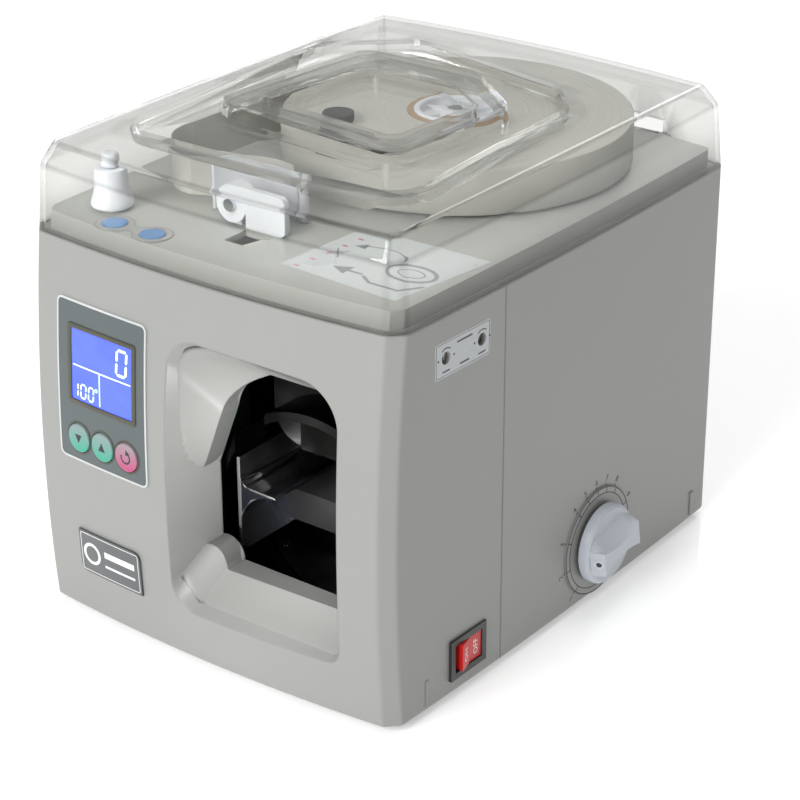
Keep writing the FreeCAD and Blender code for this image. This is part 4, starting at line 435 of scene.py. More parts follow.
def piece(name, mesh, material, body, slot, replaces=(), smooth=35):
    """A finished piece: a mesh at its place in the frame, shaded smooth up to an angle."""
    thing = added(name, mesh)
    mesh.materials.clear()
    mesh.materials.append(FINISHES[material])
    mesh.shade_smooth()
    mesh.set_sharp_from_angle(angle=math.radians(smooth))
    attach(thing, body)
    if replaces:
        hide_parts(*replaces)
    return thing


def mesh_of(name, points, faces):
    """A mesh from points in metres and faces, its normals made to point outwards."""
    mesh = bpy.data.meshes.new(name)
    mesh.from_pydata([tuple(point) for point in points], [], faces)
    work = bmesh.new()
    work.from_mesh(mesh)
    bmesh.ops.recalc_face_normals(work, faces=work.faces)
    work.to_mesh(mesh)
    work.free()
    return mesh


def refinish(node, material):
    """A construction part that keeps its mesh and gets a finish."""
    nodes[node].data.materials.clear()
    nodes[node].data.materials.append(FINISHES[material])


print("construction parts ready for finishes:", len(nodes))

# %% [markdown]
# Sharp moulded edges catch no light, so small parts are shown as a softened copy: doubled points are
# merged, flat triangles joined, and a Bevel modifier rounds the edges. The large bowed covers keep their
# own mesh, whose shading is exact, and the Bevel node in their finish shows rounded edges instead.

# %% Write the helpers for softened copies
SAME_PLACE = 2e-6
FLAT_ANGLE, SHARP_ANGLE = math.radians(1), math.radians(32)


def applied(thing):
    """The object's mesh with its modifiers worked in; the object itself is removed."""
    evaluated = thing.evaluated_get(bpy.context.evaluated_depsgraph_get())
    mesh = bpy.data.meshes.new_from_object(evaluated)
    mesh.transform(thing.matrix_world)
    bpy.data.objects.remove(thing)
    return mesh


def softened(node, width, segments):
    """A copy of a construction part's mesh with its sharp edges rounded by a Bevel modifier."""
    work = bmesh.new()
    work.from_mesh(nodes[node].data)
    bmesh.ops.remove_doubles(work, verts=work.verts, dist=SAME_PLACE)
    bmesh.ops.dissolve_limit(work, angle_limit=FLAT_ANGLE, verts=work.verts, edges=work.edges)
    mesh = bpy.data.meshes.new(node + "_soft")
    work.to_mesh(mesh)
    work.free()
    thing = added(node + "_work", mesh)
    bevel = thing.modifiers.new("round edges", "BEVEL")
    bevel.width = width * MM
    bevel.segments = segments
    bevel.angle_limit = SHARP_ANGLE
    bevel.use_clamp_overlap = True
    bpy.context.view_layer.update()
    return applied(thing)


def soften(node, material, width, slot, segments=2):
    """Replace a construction part by its softened copy."""
    return piece(node + "_soft", softened(node, width, segments), material, body_of(node), slot, (node,))


print("helpers:", applied.__name__, softened.__name__, soften.__name__)

# %% [markdown]
# ## The casing's own curves
# The front bows out and leans back, and the sides bow a little too. Printed marks, the lid and the panel
# follow these curves, so they are written once, as formulas with the casing's real sizes in millimetres.

# %% Write the casing's curves
HALF_WIDTH = (rear_high.x - rear_low.x) / 2 / MM
HALF_DEPTH = rear_high.y / MM
FRONT_SAG, FRONT_HALF = 5, 92
BULGE_Z, BULGE_SPAN, BULGE_RISE = 76, 89, 5
SIDE_BOW, BACK_HALF = 2.5, 95
FACET_DEPTH, BACK_FACET, BACK_SAG = 6, 2.5, 5
LEDGE_Z = 178
SEAM_Y = -49


def front_y(x, z):
    """Y of the bowed front, in millimetres."""
    return -HALF_DEPTH + FRONT_SAG * (x / FRONT_HALF) ** 2 + BULGE_RISE * ((z - BULGE_Z) / BULGE_SPAN) ** 2


def side_x(y):
    """X of the bowed right side, in millimetres."""
    return HALF_WIDTH - SIDE_BOW * (y / HALF_DEPTH) ** 2


print("front at the ledge:", round(front_y(0, LEDGE_Z), 2), "mm")
print("side at the seam:", round(side_x(SEAM_Y), 2), "mm")

# %% [markdown]
# ## The covers
# The two covers and the deck keep the construction's shape and mesh. Injection moulded edges are never
# knife sharp, and the mouth's rim is clearly rounded, which the Bevel node in the covers' finish shows.

# %% Finish the covers
COVERS = {"front_cover": "casing_plastic", "rear_cover": "casing_plastic", "top_deck": "deck_plastic"}
for node, finish_name in COVERS.items():
    refinish(node, finish_name)
    print(node, "finished with", finish_name)

# %% [markdown]
# ## Turned parts
# The roll, its hub, the guide roller and the deck's keys are all bodies of revolution. A lathe function
# spins a profile of (radius, height) points round an upright axis; profiles that end on the axis are
# closed there.

# %% Write the lathe
def circle_point(centre, radius, angle):
    """A point on a circle, the angle in radians."""
    return centre[0] + radius * math.cos(angle), centre[1] + radius * math.sin(angle)


def arc_points(centre, radius, start, end, count):
    """Points along an arc, angles in degrees."""
    angles = [math.radians(start + (end - start) * step / count) for step in range(count + 1)]
    return [circle_point(centre, radius, angle) for angle in angles]


def lathe(profile, centre, steps, closed=True):
    """Points and faces of a profile spun about an upright axis at centre (x, y), in millimetres."""
    points, rings = [], []
    for radius, height in profile:
        count = 1 if radius < 1e-6 else steps
        rings.append(list(range(len(points), len(points) + count)))
        angles = [math.tau * step / steps for step in range(count)]
        points += [at(*circle_point(centre, radius, angle), height) for angle in angles]
    faces = []
    for low, high in list(zip(rings, rings[1:])) + ([(rings[-1], rings[0])] if closed else []):
        if len(low) == len(high) == 1:
            continue
        for step in range(steps):
            after = (step + 1) % steps
            if len(low) == 1:
                faces.append((low[0], high[after], high[step]))
            elif len(high) == 1:
                faces.append((low[step], low[after], high[0]))
            else:
                faces.append((low[step], low[after], high[after], high[step]))
    return points, faces


def turned(name, profile, centre, steps, material, body, slot, node, closed=True, smooth=35):
    """A turned piece that stands for a construction part."""
    mesh = mesh_of(name, *lathe(profile, centre, steps, closed))
    return piece(name, mesh, material, body, slot, (node,), smooth)


print("lathe ready:", turned.__name__)

# %% [markdown]
# ## The roll of tape
# A roll of strapping paper holds more than a hundred metres. Its turns never lie quite level, so its flat
# face shows fine rings and a few that stand proud. The profile steps up and down by a few hundredths of a
# millimetre from ring to ring, with a fixed seed, and its outer corner is a little crushed.

# %% Wind the roll
roll_low, roll_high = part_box("tape_roll")
ROLL_CENTRE = ((roll_low.x + roll_high.x) / 2 / MM - CASING_X / MM, (roll_low.y + roll_high.y) / 2 / MM)
ROLL_RADIUS = (roll_high.x - roll_low.x) / 2 / MM
TAPE_LOW, TAPE_TOP = roll_low.z / MM, roll_high.z / MM
CORE_RADIUS, CORE_WALL = 22, 3
TURNS_SHOWN, TURN_THICK = 84, 0.45
random.seed(7)
top_face, level = [], 0
for turn_number in range(TURNS_SHOWN):
    radius = CORE_RADIUS + 0.4 + (ROLL_RADIUS - 0.6 - CORE_RADIUS) * turn_number / (TURNS_SHOWN - 1)
    level = 0.7 * level + random.uniform(-0.09, 0.07)
    top_face += [(radius, TAPE_TOP - 0.12 + min(0.1, level)),
                 (radius + TURN_THICK, TAPE_TOP - 0.1 + min(0.1, level))]
top_face = [(radius, height) for radius, height in top_face if radius < ROLL_RADIUS - 0.8]
profile = [(CORE_RADIUS, TAPE_LOW), (CORE_RADIUS, TAPE_TOP - 0.3)] + top_face
profile += [(ROLL_RADIUS - 0.5, TAPE_TOP - 0.1), (ROLL_RADIUS, TAPE_TOP - 0.6), (ROLL_RADIUS, TAPE_LOW + 0.5),
            (ROLL_RADIUS - 0.5, TAPE_LOW)]
roll = turned("tape_roll_wound", profile, ROLL_CENTRE, 128, "tape_paper", "roll", "paper", "tape_roll",
              smooth=50)
refinish("roll_core", "core_board")
refinish("tape_lead", "tape_paper")
print("roll:", len(roll.data.polygons), "faces, radius", round(ROLL_RADIUS, 1), "mm")

# %% [markdown]
# ## The hub and the guide roller
# The hub that fills the core is a white moulding with a raised collar, a sunk floor and a raised rim. It
# is drawn as half a section and spun, with every edge broken by a small chamfer, as a mould would leave
# it.

# %% Turn the hub
HUB_RADIUS = CORE_RADIUS - CORE_WALL
HUB_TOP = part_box("roll_hub")[1].z / MM
HUB_FLOOR = TAPE_TOP - 3
HUB_BORE = 4.1
hub_profile = [(HUB_BORE, TAPE_LOW), (HUB_BORE, HUB_TOP - 0.4), (HUB_BORE + 0.4, HUB_TOP), (7.4, HUB_TOP),
               (8, HUB_TOP - 0.5), (8.3, HUB_FLOOR + 0.4), (8.9, HUB_FLOOR), (15.2, HUB_FLOOR),
               (15.9, HUB_FLOOR + 0.5), (16.3, HUB_TOP - 0.5), (16.9, HUB_TOP), (HUB_RADIUS - 0.6, HUB_TOP),
               (HUB_RADIUS - 0.05, HUB_TOP - 0.5), (HUB_RADIUS - 0.05, TAPE_LOW)]
turned("roll_hub_turned", hub_profile, ROLL_CENTRE, 96, "white_nylon", "roll", "white_plastic", "roll_hub")
print("hub turned, radius", HUB_RADIUS, "mm")

# %% [markdown]
# The guide roller at the front left is a skirted cup that turns on a fixed post, and the post carries a
# narrower cap that is rounded at the top.

# %% Turn the guide roller and its cap
CONE_CENTRE = (-71, -95)
CONE_LOW, CONE_TOP = (corner.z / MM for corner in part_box("guide_roller"))
POST_LOW, POST_TOP = (corner.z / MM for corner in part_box("guide_roller_post"))
POST_RADIUS, POST_BORE = 2.5, 2.55
CAP_ROUND = 1.4
cup_profile = [(POST_BORE, CONE_LOW), (POST_BORE, CONE_TOP), (6.2, CONE_TOP), (6.8, CONE_TOP - 0.3),
               (7.0, CONE_TOP - 1.0), (7.3, CONE_LOW + 8), (7.8, CONE_LOW + 6), (8.4, CONE_LOW + 4.2),
               (8.9, CONE_LOW + 2.4), (9.1, CONE_LOW + 1.0), (8.9, CONE_LOW + 0.3), (8.4, CONE_LOW)]
turned("guide_roller_cup", cup_profile, CONE_CENTRE, 72, "white_nylon", "guide_cone", "white_plastic",
       "guide_roller")
post_profile = [(0, POST_LOW), (6, POST_LOW), (6, POST_LOW + 0.7), (5.6, POST_LOW + 1),
                (POST_RADIUS, POST_LOW + 1), (POST_RADIUS, CONE_TOP + 0.3), (3.5, CONE_TOP + 0.3),
                (4.0, CONE_TOP + 1.0), (3.7, POST_TOP - CAP_ROUND)]
post_profile += arc_points((2.2, POST_TOP - CAP_ROUND), CAP_ROUND, 0, 90, 5) + [(0, POST_TOP)]
turned("guide_roller_cap", post_profile, CONE_CENTRE, 64, "white_nylon", "casing", "white_plastic",
       "guide_roller_post", closed=False)
print("guide roller from", round(CONE_LOW, 1), "to", round(POST_TOP, 1), "mm")

# %% [markdown]
# Six ribs stiffen the hub's floor. They repeat round its axis, so Geometry Nodes place them. These
# helpers build a tree from named parts and turn its result into a plain mesh.

# %% Write the helpers for Geometry Nodes
def geometry_tree(name, inputs):
    """An empty Geometry Nodes tree with named inputs; it returns the tree, its inputs and its outputs."""
    tree = bpy.data.node_groups.new(name, "GeometryNodeTree")
    for label, kind, value in inputs:
        socket = tree.interface.new_socket(label, in_out="INPUT", socket_type=kind)
        socket.default_value = value
    tree.interface.new_socket("Geometry", in_out="OUTPUT", socket_type="NodeSocketGeometry")
    return tree, tree.nodes.new("NodeGroupInput").outputs, tree.nodes.new("NodeGroupOutput").inputs


def grow(tree, kind, settings=None, **named):
    """One geometry node with its sockets filled by name."""
    node = tree.nodes.new(kind)
    for key, value in (settings or {}).items():
        setattr(node, key, value)
    for key, value in named.items():
        socket = node.inputs[key.replace("_", " ")]
        if isinstance(value, bpy.types.NodeSocket):
            tree.links.new(value, socket)
        else:
            socket.default_value = value
    return node


def grown(name, tree, values):
    """The mesh that a tree makes with these input values, given by input name."""
    holder = added(name + "_work", bpy.data.meshes.new(name + "_work"))
    modifier = holder.modifiers.new("grow", "NODES")
    modifier.node_group = tree
    for item in tree.interface.items_tree:
        if item.in_out == "INPUT" and item.name in values:
            modifier[item.identifier] = values[item.name]
    bpy.context.view_layer.update()
    return applied(holder)


print("helpers:", geometry_tree.__name__, grow.__name__, grown.__name__)

# %% [markdown]
# One rib is made as a box, and its copies stand on the points of a circle, each turned outwards. The tree
# ends in Realize Instances and Set Material.

# %% Set the ribs of the hub
RIB_COUNT, RIB_CIRCLE = 6, 12
RIB_SIZE = Vector((8.4, 1.2, 2.0))
RIB_LIFT = 0.9
ring_tree, ring_in, ring_out = geometry_tree("ring_of_ribs", [
    ("Count", "NodeSocketInt", 6), ("Radius", "NodeSocketFloat", 0.012),
    ("Size", "NodeSocketVector", (1, 1, 1))])
rib = grow(ring_tree, "GeometryNodeMeshCube", Size=ring_in["Size"])
circle = grow(ring_tree, "GeometryNodeMeshCircle", Vertices=ring_in["Count"], Radius=ring_in["Radius"])
outward = grow(ring_tree, "FunctionNodeAlignRotationToVector", {"axis": "X"},
               Vector=grow(ring_tree, "GeometryNodeInputPosition").outputs[0])
ribs = grow(ring_tree, "GeometryNodeInstanceOnPoints", Points=circle.outputs[0], Instance=rib.outputs[0],
            Rotation=outward.outputs[0])
solid_ribs = grow(ring_tree, "GeometryNodeRealizeInstances", Geometry=ribs.outputs[0])
finished_ribs = grow(ring_tree, "GeometryNodeSetMaterial", Geometry=solid_ribs.outputs[0])
finished_ribs.inputs["Material"].default_value = FINISHES["white_nylon"]
ring_tree.links.new(finished_ribs.outputs[0], ring_out[0])
rib_values = {"Count": RIB_COUNT, "Radius": RIB_CIRCLE * MM, "Size": RIB_SIZE * MM}
rib_mesh = grown("hub_ribs", ring_tree, rib_values)
rib_mesh.transform(Matrix.Translation(at(*ROLL_CENTRE, HUB_FLOOR + RIB_LIFT)))
hub_ribs = piece("hub_ribs", rib_mesh, "white_nylon", "roll", "white_plastic")
print("hub ribs:", len(hub_ribs.data.polygons), "faces")

# %% [markdown]
# ## The clear lid
# The lid is the piece that makes or breaks the likeness. It is a moulded shell, 2.5 mm thick: leaning
# walls, a chamfer, a slightly crowned top and a sunk stiffening basin with a raised ring in it. Its outer
# skin is built as loops of points that all have the same count, so that neighbouring loops join into
# clean strips. The first loop is the plan of its lower edge: four bows and four facets, with soft corners
# between them.

# %% Write the lid's plan
LID_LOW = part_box("clear_lid")[0].z / MM
LID_SHOULDER, LID_TOP = 207, 217.5
WALL_LEAN, LID_CHAMFER, LID_RISE = 2, 8, 9.3
CORNER_SOFT = 2.2
BOW_STEPS, FACET_STEPS, CORNER_STEPS = 18, 2, 4


def curve(before, corner, after, t):
    """A point of a small curve from before to after that leans into the corner."""
    return before * (1 - t) ** 2 + corner * 2 * t * (1 - t) + after * t ** 2


def bend(before, corner, after, count):
    """The points of such a curve, both ends included."""
    return [curve(before, corner, after, step / count) for step in range(count + 1)]


def lid_loop(inset):
    """The lid's plan drawn in by inset."""
    slip = 0.4 * inset
    front = front_y(0, LEDGE_Z) + inset
    corner = front + FRONT_SAG
    facet = corner + FACET_DEPTH - slip / 2
    rear = HALF_DEPTH - BACK_SAG - inset
    right = [(FRONT_HALF - slip, corner), (side_x(facet) - inset, facet),
             (side_x(rear) - inset, rear - BACK_FACET), (BACK_HALF - slip - inset / 3, rear)]
    corners = [Vector(point) for point in right + [(-x, y) for x, y in reversed(right)]]
    middles = {1: (HALF_WIDTH - inset, 0), 3: (0, HALF_DEPTH - inset),
               5: (inset - HALF_WIDTH, 0), 7: (0, front)}
    loop = []
    for number in range(8):
        start, end = corners[number], corners[(number + 1) % 8]
        middle = (start + end) / 2
        bulge = Vector(middles[number]) * 2 - middle if number in middles else middle
        steps = BOW_STEPS if number in middles else FACET_STEPS
        trim = min(0.35, CORNER_SOFT / (end - start).length)
        run = [curve(start, bulge, end, trim + (1 - 2 * trim) * step / steps) for step in range(steps + 1)]
        if loop:
            loop += bend(loop[-1], start, run[0], CORNER_STEPS + 1)[1:-1]
        loop += run
    return loop + bend(loop[-1], corners[0], loop[0], CORNER_STEPS + 1)[1:-1]


outer_plan, inner_plan = lid_loop(0), lid_loop(LID_CHAMFER)
print("points round the lid:", len(outer_plan))

# %% [markdown]
# The side profile is worked out point by point: the wall leans inwards, and the chamfer climbs until it
# meets the crown. Both edges are rounded by a small curve, because a rounded edge draws the bright and
# dark double lines that outline the lid in the photograph. An extra point on each side of an edge keeps
# the flat walls evenly shaded.

# %% Build the lid's sides
EDGE_SOFT, SOFT_STEPS = 1.3, 2
EDGE_REACH, BEND_REACH = 1.0, 0.6
CROWN_RADIUS = 8500
slope = LID_RISE / (LID_CHAMFER - WALL_LEAN)
lean_share = WALL_LEAN / (LID_SHOULDER - LID_LOW)


def crown_z(x, y):
    """Height of the crowned top."""
    return LID_TOP - (x * x + y * y) / (2 * CROWN_RADIUS)


def lid_point(number, inset, z):
    """A point of the lid's side: the plan at an inset, at a height."""
    flat = outer_plan[number].lerp(inner_plan[number], inset / LID_CHAMFER)
    return Vector((flat.x, flat.y, z))


def on_wall(number, below):
    """A point of the leaning wall, so far below the shoulder."""
    return lid_point(number, WALL_LEAN - lean_share * below, LID_SHOULDER - below)


def on_chamfer(number, inset):
    """A point of the chamfer."""
    return lid_point(number, inset, LID_SHOULDER + slope * (inset - WALL_LEAN))


def on_crown(number, inset):
    """A point of the crown."""
    point = lid_point(number, inset, 0)
    point.z = crown_z(point.x, point.y)
    return point


columns = []
for number in range(len(outer_plan)):
    inset = LID_CHAMFER * 0.9
    for _ in range(4):
        flat = lid_point(number, inset, 0)
        inset = WALL_LEAN + (crown_z(flat.x, flat.y) - LID_SHOULDER) / slope
    column = [lid_point(number, 0, LID_LOW), lid_point(number, lean_share * EDGE_REACH, LID_LOW + EDGE_REACH),
              on_wall(number, EDGE_SOFT + EDGE_REACH)]
    column += bend(on_wall(number, EDGE_SOFT), on_wall(number, 0),
                   on_chamfer(number, WALL_LEAN + EDGE_SOFT / 2), SOFT_STEPS)
    column += [on_chamfer(number, WALL_LEAN + EDGE_SOFT / 2 + BEND_REACH),
               on_chamfer(number, inset - EDGE_SOFT / 2 - BEND_REACH)]
    column += bend(on_chamfer(number, inset - EDGE_SOFT / 2), on_chamfer(number, inset),
                   on_crown(number, inset + EDGE_SOFT), SOFT_STEPS)
    columns.append(column + [on_crown(number, inset + EDGE_SOFT + EDGE_REACH)])
skin_points = [point for column in columns for point in column]
tall = len(columns[0])
skin_faces = []
for number in range(len(columns)):
    here, there = number * tall, (number + 1) % len(columns) * tall
    skin_faces += [(here + row, there + row, there + row + 1, here + row + 1) for row in range(tall - 1)]
print("side faces:", len(skin_faces))

# %% [markdown]
# The sunk basin and the ring are polygons with rounded corners. Each wall is a pair of loops, one for its
# foot and one for its top, because moulded walls need draft. One more loop beside each wall keeps the
# flats evenly shaded.

# %% Draw the basin and the ring
BASIN = [(-78, -80), (20, -80), (68, -74), (60, 52), (40, 74), (-50, 94), (-86, 62)], 16
RING = [(-66, -36), (40, -44), (44, 34), (8, 62), (-58, 62)], 12
RING_HOLE = [(-50, -20), (26, -27), (29, 26), (0, 46), (-43, 46)], 6
BASIN_SUNK, RING_RISE = 4.5, 6.7
RING_LEVEL = RING_RISE - BASIN_SUNK
DRAFT = 1.1


def rounded_polygon(corners, radius, grow_by=0, steps=7):
    """A polygon with rounded corners, moved outwards by grow_by."""
    points = [Vector(corner) for corner in corners]
    loop = []
    for number, corner in enumerate(points):
        into = (corner - points[number - 1]).normalized()
        out = (points[(number + 1) % len(points)] - corner).normalized()
        half_turn = into.angle_signed(out) / 2
        side = (Vector((into.y, -into.x)) + Vector((out.y, -out.x))).normalized()
        reach = radius * math.tan(abs(half_turn))
        centre = corner - side / math.cos(half_turn) * radius
        for flat in bend(corner - into * reach, corner, corner + out * reach, steps):
            loop.append(flat + (flat - centre).normalized() * grow_by)
    return loop


LOOPS = [(rounded_polygon(*shape, moved), height) for shape, moved, height in (
    (BASIN, 0, 0), (BASIN, -DRAFT, -BASIN_SUNK), (RING, 0, -BASIN_SUNK),
    (RING, -DRAFT, RING_LEVEL), (RING_HOLE, DRAFT, RING_LEVEL), (RING_HOLE, 0, -BASIN_SUNK),
    (BASIN, EDGE_REACH, 0), (BASIN, -DRAFT - EDGE_REACH, -BASIN_SUNK), (RING, EDGE_REACH, -BASIN_SUNK),
    (RING, -DRAFT - EDGE_REACH, RING_LEVEL), (RING_HOLE, DRAFT + EDGE_REACH, RING_LEVEL),
    (RING_HOLE, -EDGE_REACH, -BASIN_SUNK))]
print("loops on the lid's top:", len(LOOPS))

# %% [markdown]
# The top is filled by a constrained triangulation, which keeps every loop as an edge. A loose grid of
# points between the loops lets the crown curve, and each point's height depends on the loops that it lies
# inside.

# %% Fill the lid's top
GRID_STEP, GRID_GAP = 7, 2.5


def inside(point, loop):
    """Whether a point lies inside a loop."""
    crossings = 0
    for number, here in enumerate(loop):
        there = loop[(number + 1) % len(loop)]
        if (here.y > point.y) != (there.y > point.y):
            if point.x < here.x + (there.x - here.x) * (point.y - here.y) / (there.y - here.y):
                crossings += 1
    return crossings % 2 == 1


def joined(loops):
    """The points of several closed loops, and the edges along them."""
    points, edges = [], []
    for loop in loops:
        first = len(points)
        points += [Vector(point) for point in loop]
        edges += [(first + number, first + (number + 1) % len(loop)) for number in range(len(loop))]
    return points, edges


rim = [column[-1].xy for column in columns]
basin_foot, ring_top, hole_top = (LOOPS[number][0] for number in (1, 3, 4))
outlines, edges = joined([rim] + [loop for loop, _ in LOOPS])
levels = [height for loop, height in [(rim, 0)] + LOOPS for _ in loop]
flat_points = list(outlines)
for across in range(-13, 14):
    for along in range(-18, 19):
        spot = Vector((across * GRID_STEP, along * GRID_STEP))
        if min((spot - other).length for other in outlines) > GRID_GAP and inside(spot, rim):
            on_ring = inside(spot, ring_top) and not inside(spot, hole_top)
            flat_points.append(spot)
            levels.append((-BASIN_SUNK if inside(spot, basin_foot) else 0) + (RING_RISE if on_ring else 0))
placed, _, triangles, came_from = delaunay_2d_cdt(flat_points, edges, [], 1, 1e-4)[:4]
first = len(skin_points)
for number, spot in enumerate(placed):
    skin_points.append(Vector((spot.x, spot.y, crown_z(spot.x, spot.y) + levels[came_from[number][0]])))
skin_faces += [tuple(first + corner for corner in triangle) for triangle in triangles]
lid_mesh = mesh_of("clear_lid_skin", [at(*point) for point in skin_points], skin_faces)
weld = bmesh.new()
weld.from_mesh(lid_mesh)
bmesh.ops.remove_doubles(weld, verts=weld.verts, dist=1e-6)
bmesh.ops.recalc_face_normals(weld, faces=weld.faces)
weld.to_mesh(lid_mesh)
weld.free()
print("lid skin:", len(lid_mesh.polygons), "faces")

# %% [markdown]
# Solidify adds the inner skin and the rim, since only a wall with two sides passes light as the real one
# does. The two hinge pockets are cut through the back wall with a Boolean modifier, whose cutter is one
# small mesh with both pockets in it.

# %% Thicken the lid and cut the hinge pockets
LID_WALL = 2.5
HINGE_X, HINGE_Y, HINGE_Z = 56, 127.3, 182.6
POCKET_WIDE, POCKET_TOP, POCKET_FRONT = 18, 192, 119.3


def block_mesh(name, boxes):
    """One mesh of boxes given as ((x, y, z), (x, y, z)) in casing millimetres."""
    points, faces = [], []
    for low, high in boxes:
        base = len(points)
        points += [at(x, y, z) for z in (low[2], high[2]) for x, y in
                   ((low[0], low[1]), (high[0], low[1]), (high[0], high[1]), (low[0], high[1]))]
        faces += [tuple(base + number for number in face) for face in
                  ((3, 2, 1, 0), (4, 5, 6, 7), (0, 1, 5, 4), (1, 2, 6, 5), (2, 3, 7, 6), (3, 0, 4, 7))]
    return mesh_of(name, points, faces)


thick = added("lid_work", lid_mesh)
wall = thick.modifiers.new("wall", "SOLIDIFY")
wall.thickness = LID_WALL * MM
wall.offset = -1
wall.use_even_offset = True
pocket_boxes = [((side * HINGE_X - POCKET_WIDE / 2, POCKET_FRONT, LID_LOW - 2),
                 (side * HINGE_X + POCKET_WIDE / 2, HALF_DEPTH + 5, POCKET_TOP)) for side in (-1, 1)]
cutter = added("pocket_cutter", block_mesh("pocket_cutter", pocket_boxes))
carve = thick.modifiers.new("pockets", "BOOLEAN")
carve.operation = "DIFFERENCE"
carve.object = cutter
carve.solver = "EXACT"
bpy.context.view_layer.update()
lid_shell = applied(thick)
bpy.data.objects.remove(cutter)
print("lid shell:", len(lid_shell.polygons), "faces")

# %% [markdown]
# A moulded clear cover looks dark along its edges and bends, because there the light is led away
# sideways. This group paints that shade into the lid's colour, and Pointiness finds where. It weakens
# the painted shade on the basin and the ring, which lie inside a box round the middle of the lid, and
# leaves the outer walls and edges at full strength.

# %% Make the group that paints shade on the lid's edges
FLAT_BEND = 0.008
edge_group, edge_in, edge_out = new_group(
    "edge_shade", {"Gain": 34, "Middle X": 0, "Half Width": 0.0865, "Half Depth": 0.105, "Inner Share": 0.4},
    ("Shade",))


def edge_maths(operation, *values):
    """One Math node in the group."""
    return maths(edge_group, operation, *values)


pointed = put(edge_group, "NewGeometry").outputs["Pointiness"]
bent = edge_maths("ABSOLUTE", edge_maths("SUBTRACT", pointed, 0.5))
bent = edge_maths("MULTIPLY", edge_maths("SUBTRACT", bent, FLAT_BEND), edge_in["Gain"])
spot = put(edge_group, "SeparateXYZ", put(edge_group, "TexCoord").outputs["Object"]).outputs
from_middle = edge_maths("ABSOLUTE", edge_maths("SUBTRACT", spot["X"], edge_in["Middle X"]))
beyond_x = edge_maths("GREATER_THAN", from_middle, edge_in["Half Width"])
beyond_y = edge_maths("GREATER_THAN", edge_maths("ABSOLUTE", spot["Y"]), edge_in["Half Depth"])
weight = edge_maths("MAXIMUM", edge_maths("MAXIMUM", beyond_x, beyond_y), edge_in["Inner Share"])
shade = edge_maths("MULTIPLY", put(edge_group, "Clamp", bent).outputs[0], weight)
edge_group.links.new(shade, edge_out["Shade"])
print("shader group:", edge_group.name)

# %% [markdown]
# So thin a wall hardly bends the light. The Principled shader therefore passes it with a low index, while
# a clear coat gives it the reflections of real plastic. Shadow rays would be stopped by the glass, and
# the deck under the lid would go black, so for those rays a Transparent shader takes over.

# %% Mix the clear plastic
# The second colour is painted shade for the lid's edges and bends.
CLEAR_TINT, PAINTED_EDGE_SHADE = (0.90, 0.90, 0.885), (0.36, 0.36, 0.345)
THIN_INDEX, COAT_INDEX, COAT_ROUGH, CLEAR_ROUGH = 1.04, 1.48, 0.02, 0.012

clear = principled("lid_plastic", CLEAR_TINT, CLEAR_ROUGH, Transmission_Weight=1, IOR=THIN_INDEX,
                   Coat_Weight=1.0, Coat_IOR=COAT_INDEX, Coat_Roughness=COAT_ROUGH)
tree = clear.node_tree
shader = tree.nodes["Principled BSDF"]
haze = grained(tree, 260, 30)["Clouds"]
roughness = put(tree, "MapRange", haze, 0.35, 0.75, CLEAR_ROUGH, CLEAR_ROUGH * 2.2).outputs[0]
tree.links.new(roughness, shader.inputs["Roughness"])
edge_shade_painted = put(tree, "Group", settings={"node_tree": edge_group}, Middle_X=CASING_X).outputs["Shade"]
# Painted shade: the base colour darkens towards the edge colour where the group's shade is strong.
tree.links.new(ramp(tree, edge_shade_painted, [(0.0, CLEAR_TINT), (1.0, PAINTED_EDGE_SHADE)]), shader.inputs["Base Color"])
see_through = put(tree, "BsdfTransparent", (*CLEAR_TINT, 1))
mixed = put(tree, "MixShader", put(tree, "LightPath").outputs["Is Shadow Ray"], shader.outputs[0],
            see_through.outputs[0])
tree.links.new(mixed.outputs[0], tree.nodes["Material Output"].inputs["Surface"])
FINISHES["lid_plastic"] = clear
lid = piece("clear_lid_moulding", lid_shell, "lid_plastic", "lid", "clear_lid", ("clear_lid",), smooth=40)
print("lid dressed:", lid.name)

# %% [markdown]
# ## Thin sheets and print
# Labels, rings, ticks and symbols are all thin sheets lying on a surface. Each one is drawn flat, in
# millimetres, as a list of points and faces, and then laid on the front, the side or the deck between two
# heights above it, so that it has a real thickness with closed sides.

# %% Write the sheet function
def gather(shapes):
    """Several flat shapes as one."""
    points, faces = [], []
    for some_points, some_faces in shapes:
        base = len(points)
        points += some_points
        faces += [tuple(base + corner for corner in face) for face in some_faces]
    return points, faces


def sheet(name, shapes, place, low, high, material, slot, body="casing"):
    """A closed sheet from flat shapes, laid on a surface between two heights above it."""
    points, faces = gather(shapes)
    count = len(points)
    spots = [place(u, v, height) for height in (high, low) for u, v in points]
    edges = {(a, b) for face in faces for a, b in zip(face, face[1:] + face[:1])}
    walls = [(b, a, a + count, b + count) for a, b in sorted(edges) if (b, a) not in edges]
    under = [tuple(count + corner for corner in reversed(face)) for face in faces]
    return piece(name, mesh_of(name, spots, faces + under + walls), material, body, slot)


print("sheets are made by", sheet.__name__)

# %% [markdown]
# Lines, rings and rectangles are the shapes that the print is drawn with. Where the surface is bowed, a
# path or a rectangle is divided first, so that it can follow the bow.

# %% Write the flat shapes
def finer(path, step=3.0):
    """A closed path with its long stretches divided."""
    points = [Vector(point) for point in path]
    divided = []
    for here, there in zip(points, points[1:] + points[:1]):
        count = max(1, math.ceil((there - here).length / step))
        divided += [here.lerp(there, number / count) for number in range(count)]
    return divided


def ribbon(path, width, closed=False):
    """A stroke of even width along a path."""
    points = [Vector(point) for point in path]
    count = len(points)
    left, right = [], []
    for number, here in enumerate(points):
        before = points[number - 1] if closed or number else here
        after = points[(number + 1) % count] if closed or number < count - 1 else here
        along = (after - before).normalized() * width / 2
        left.append(here + Vector((-along.y, along.x)))
        right.append(here - Vector((-along.y, along.x)))
    runs = count if closed else count - 1
    faces = [(n, count + n, count + (n + 1) % count, (n + 1) % count) for n in range(runs)]
    return left + right, faces


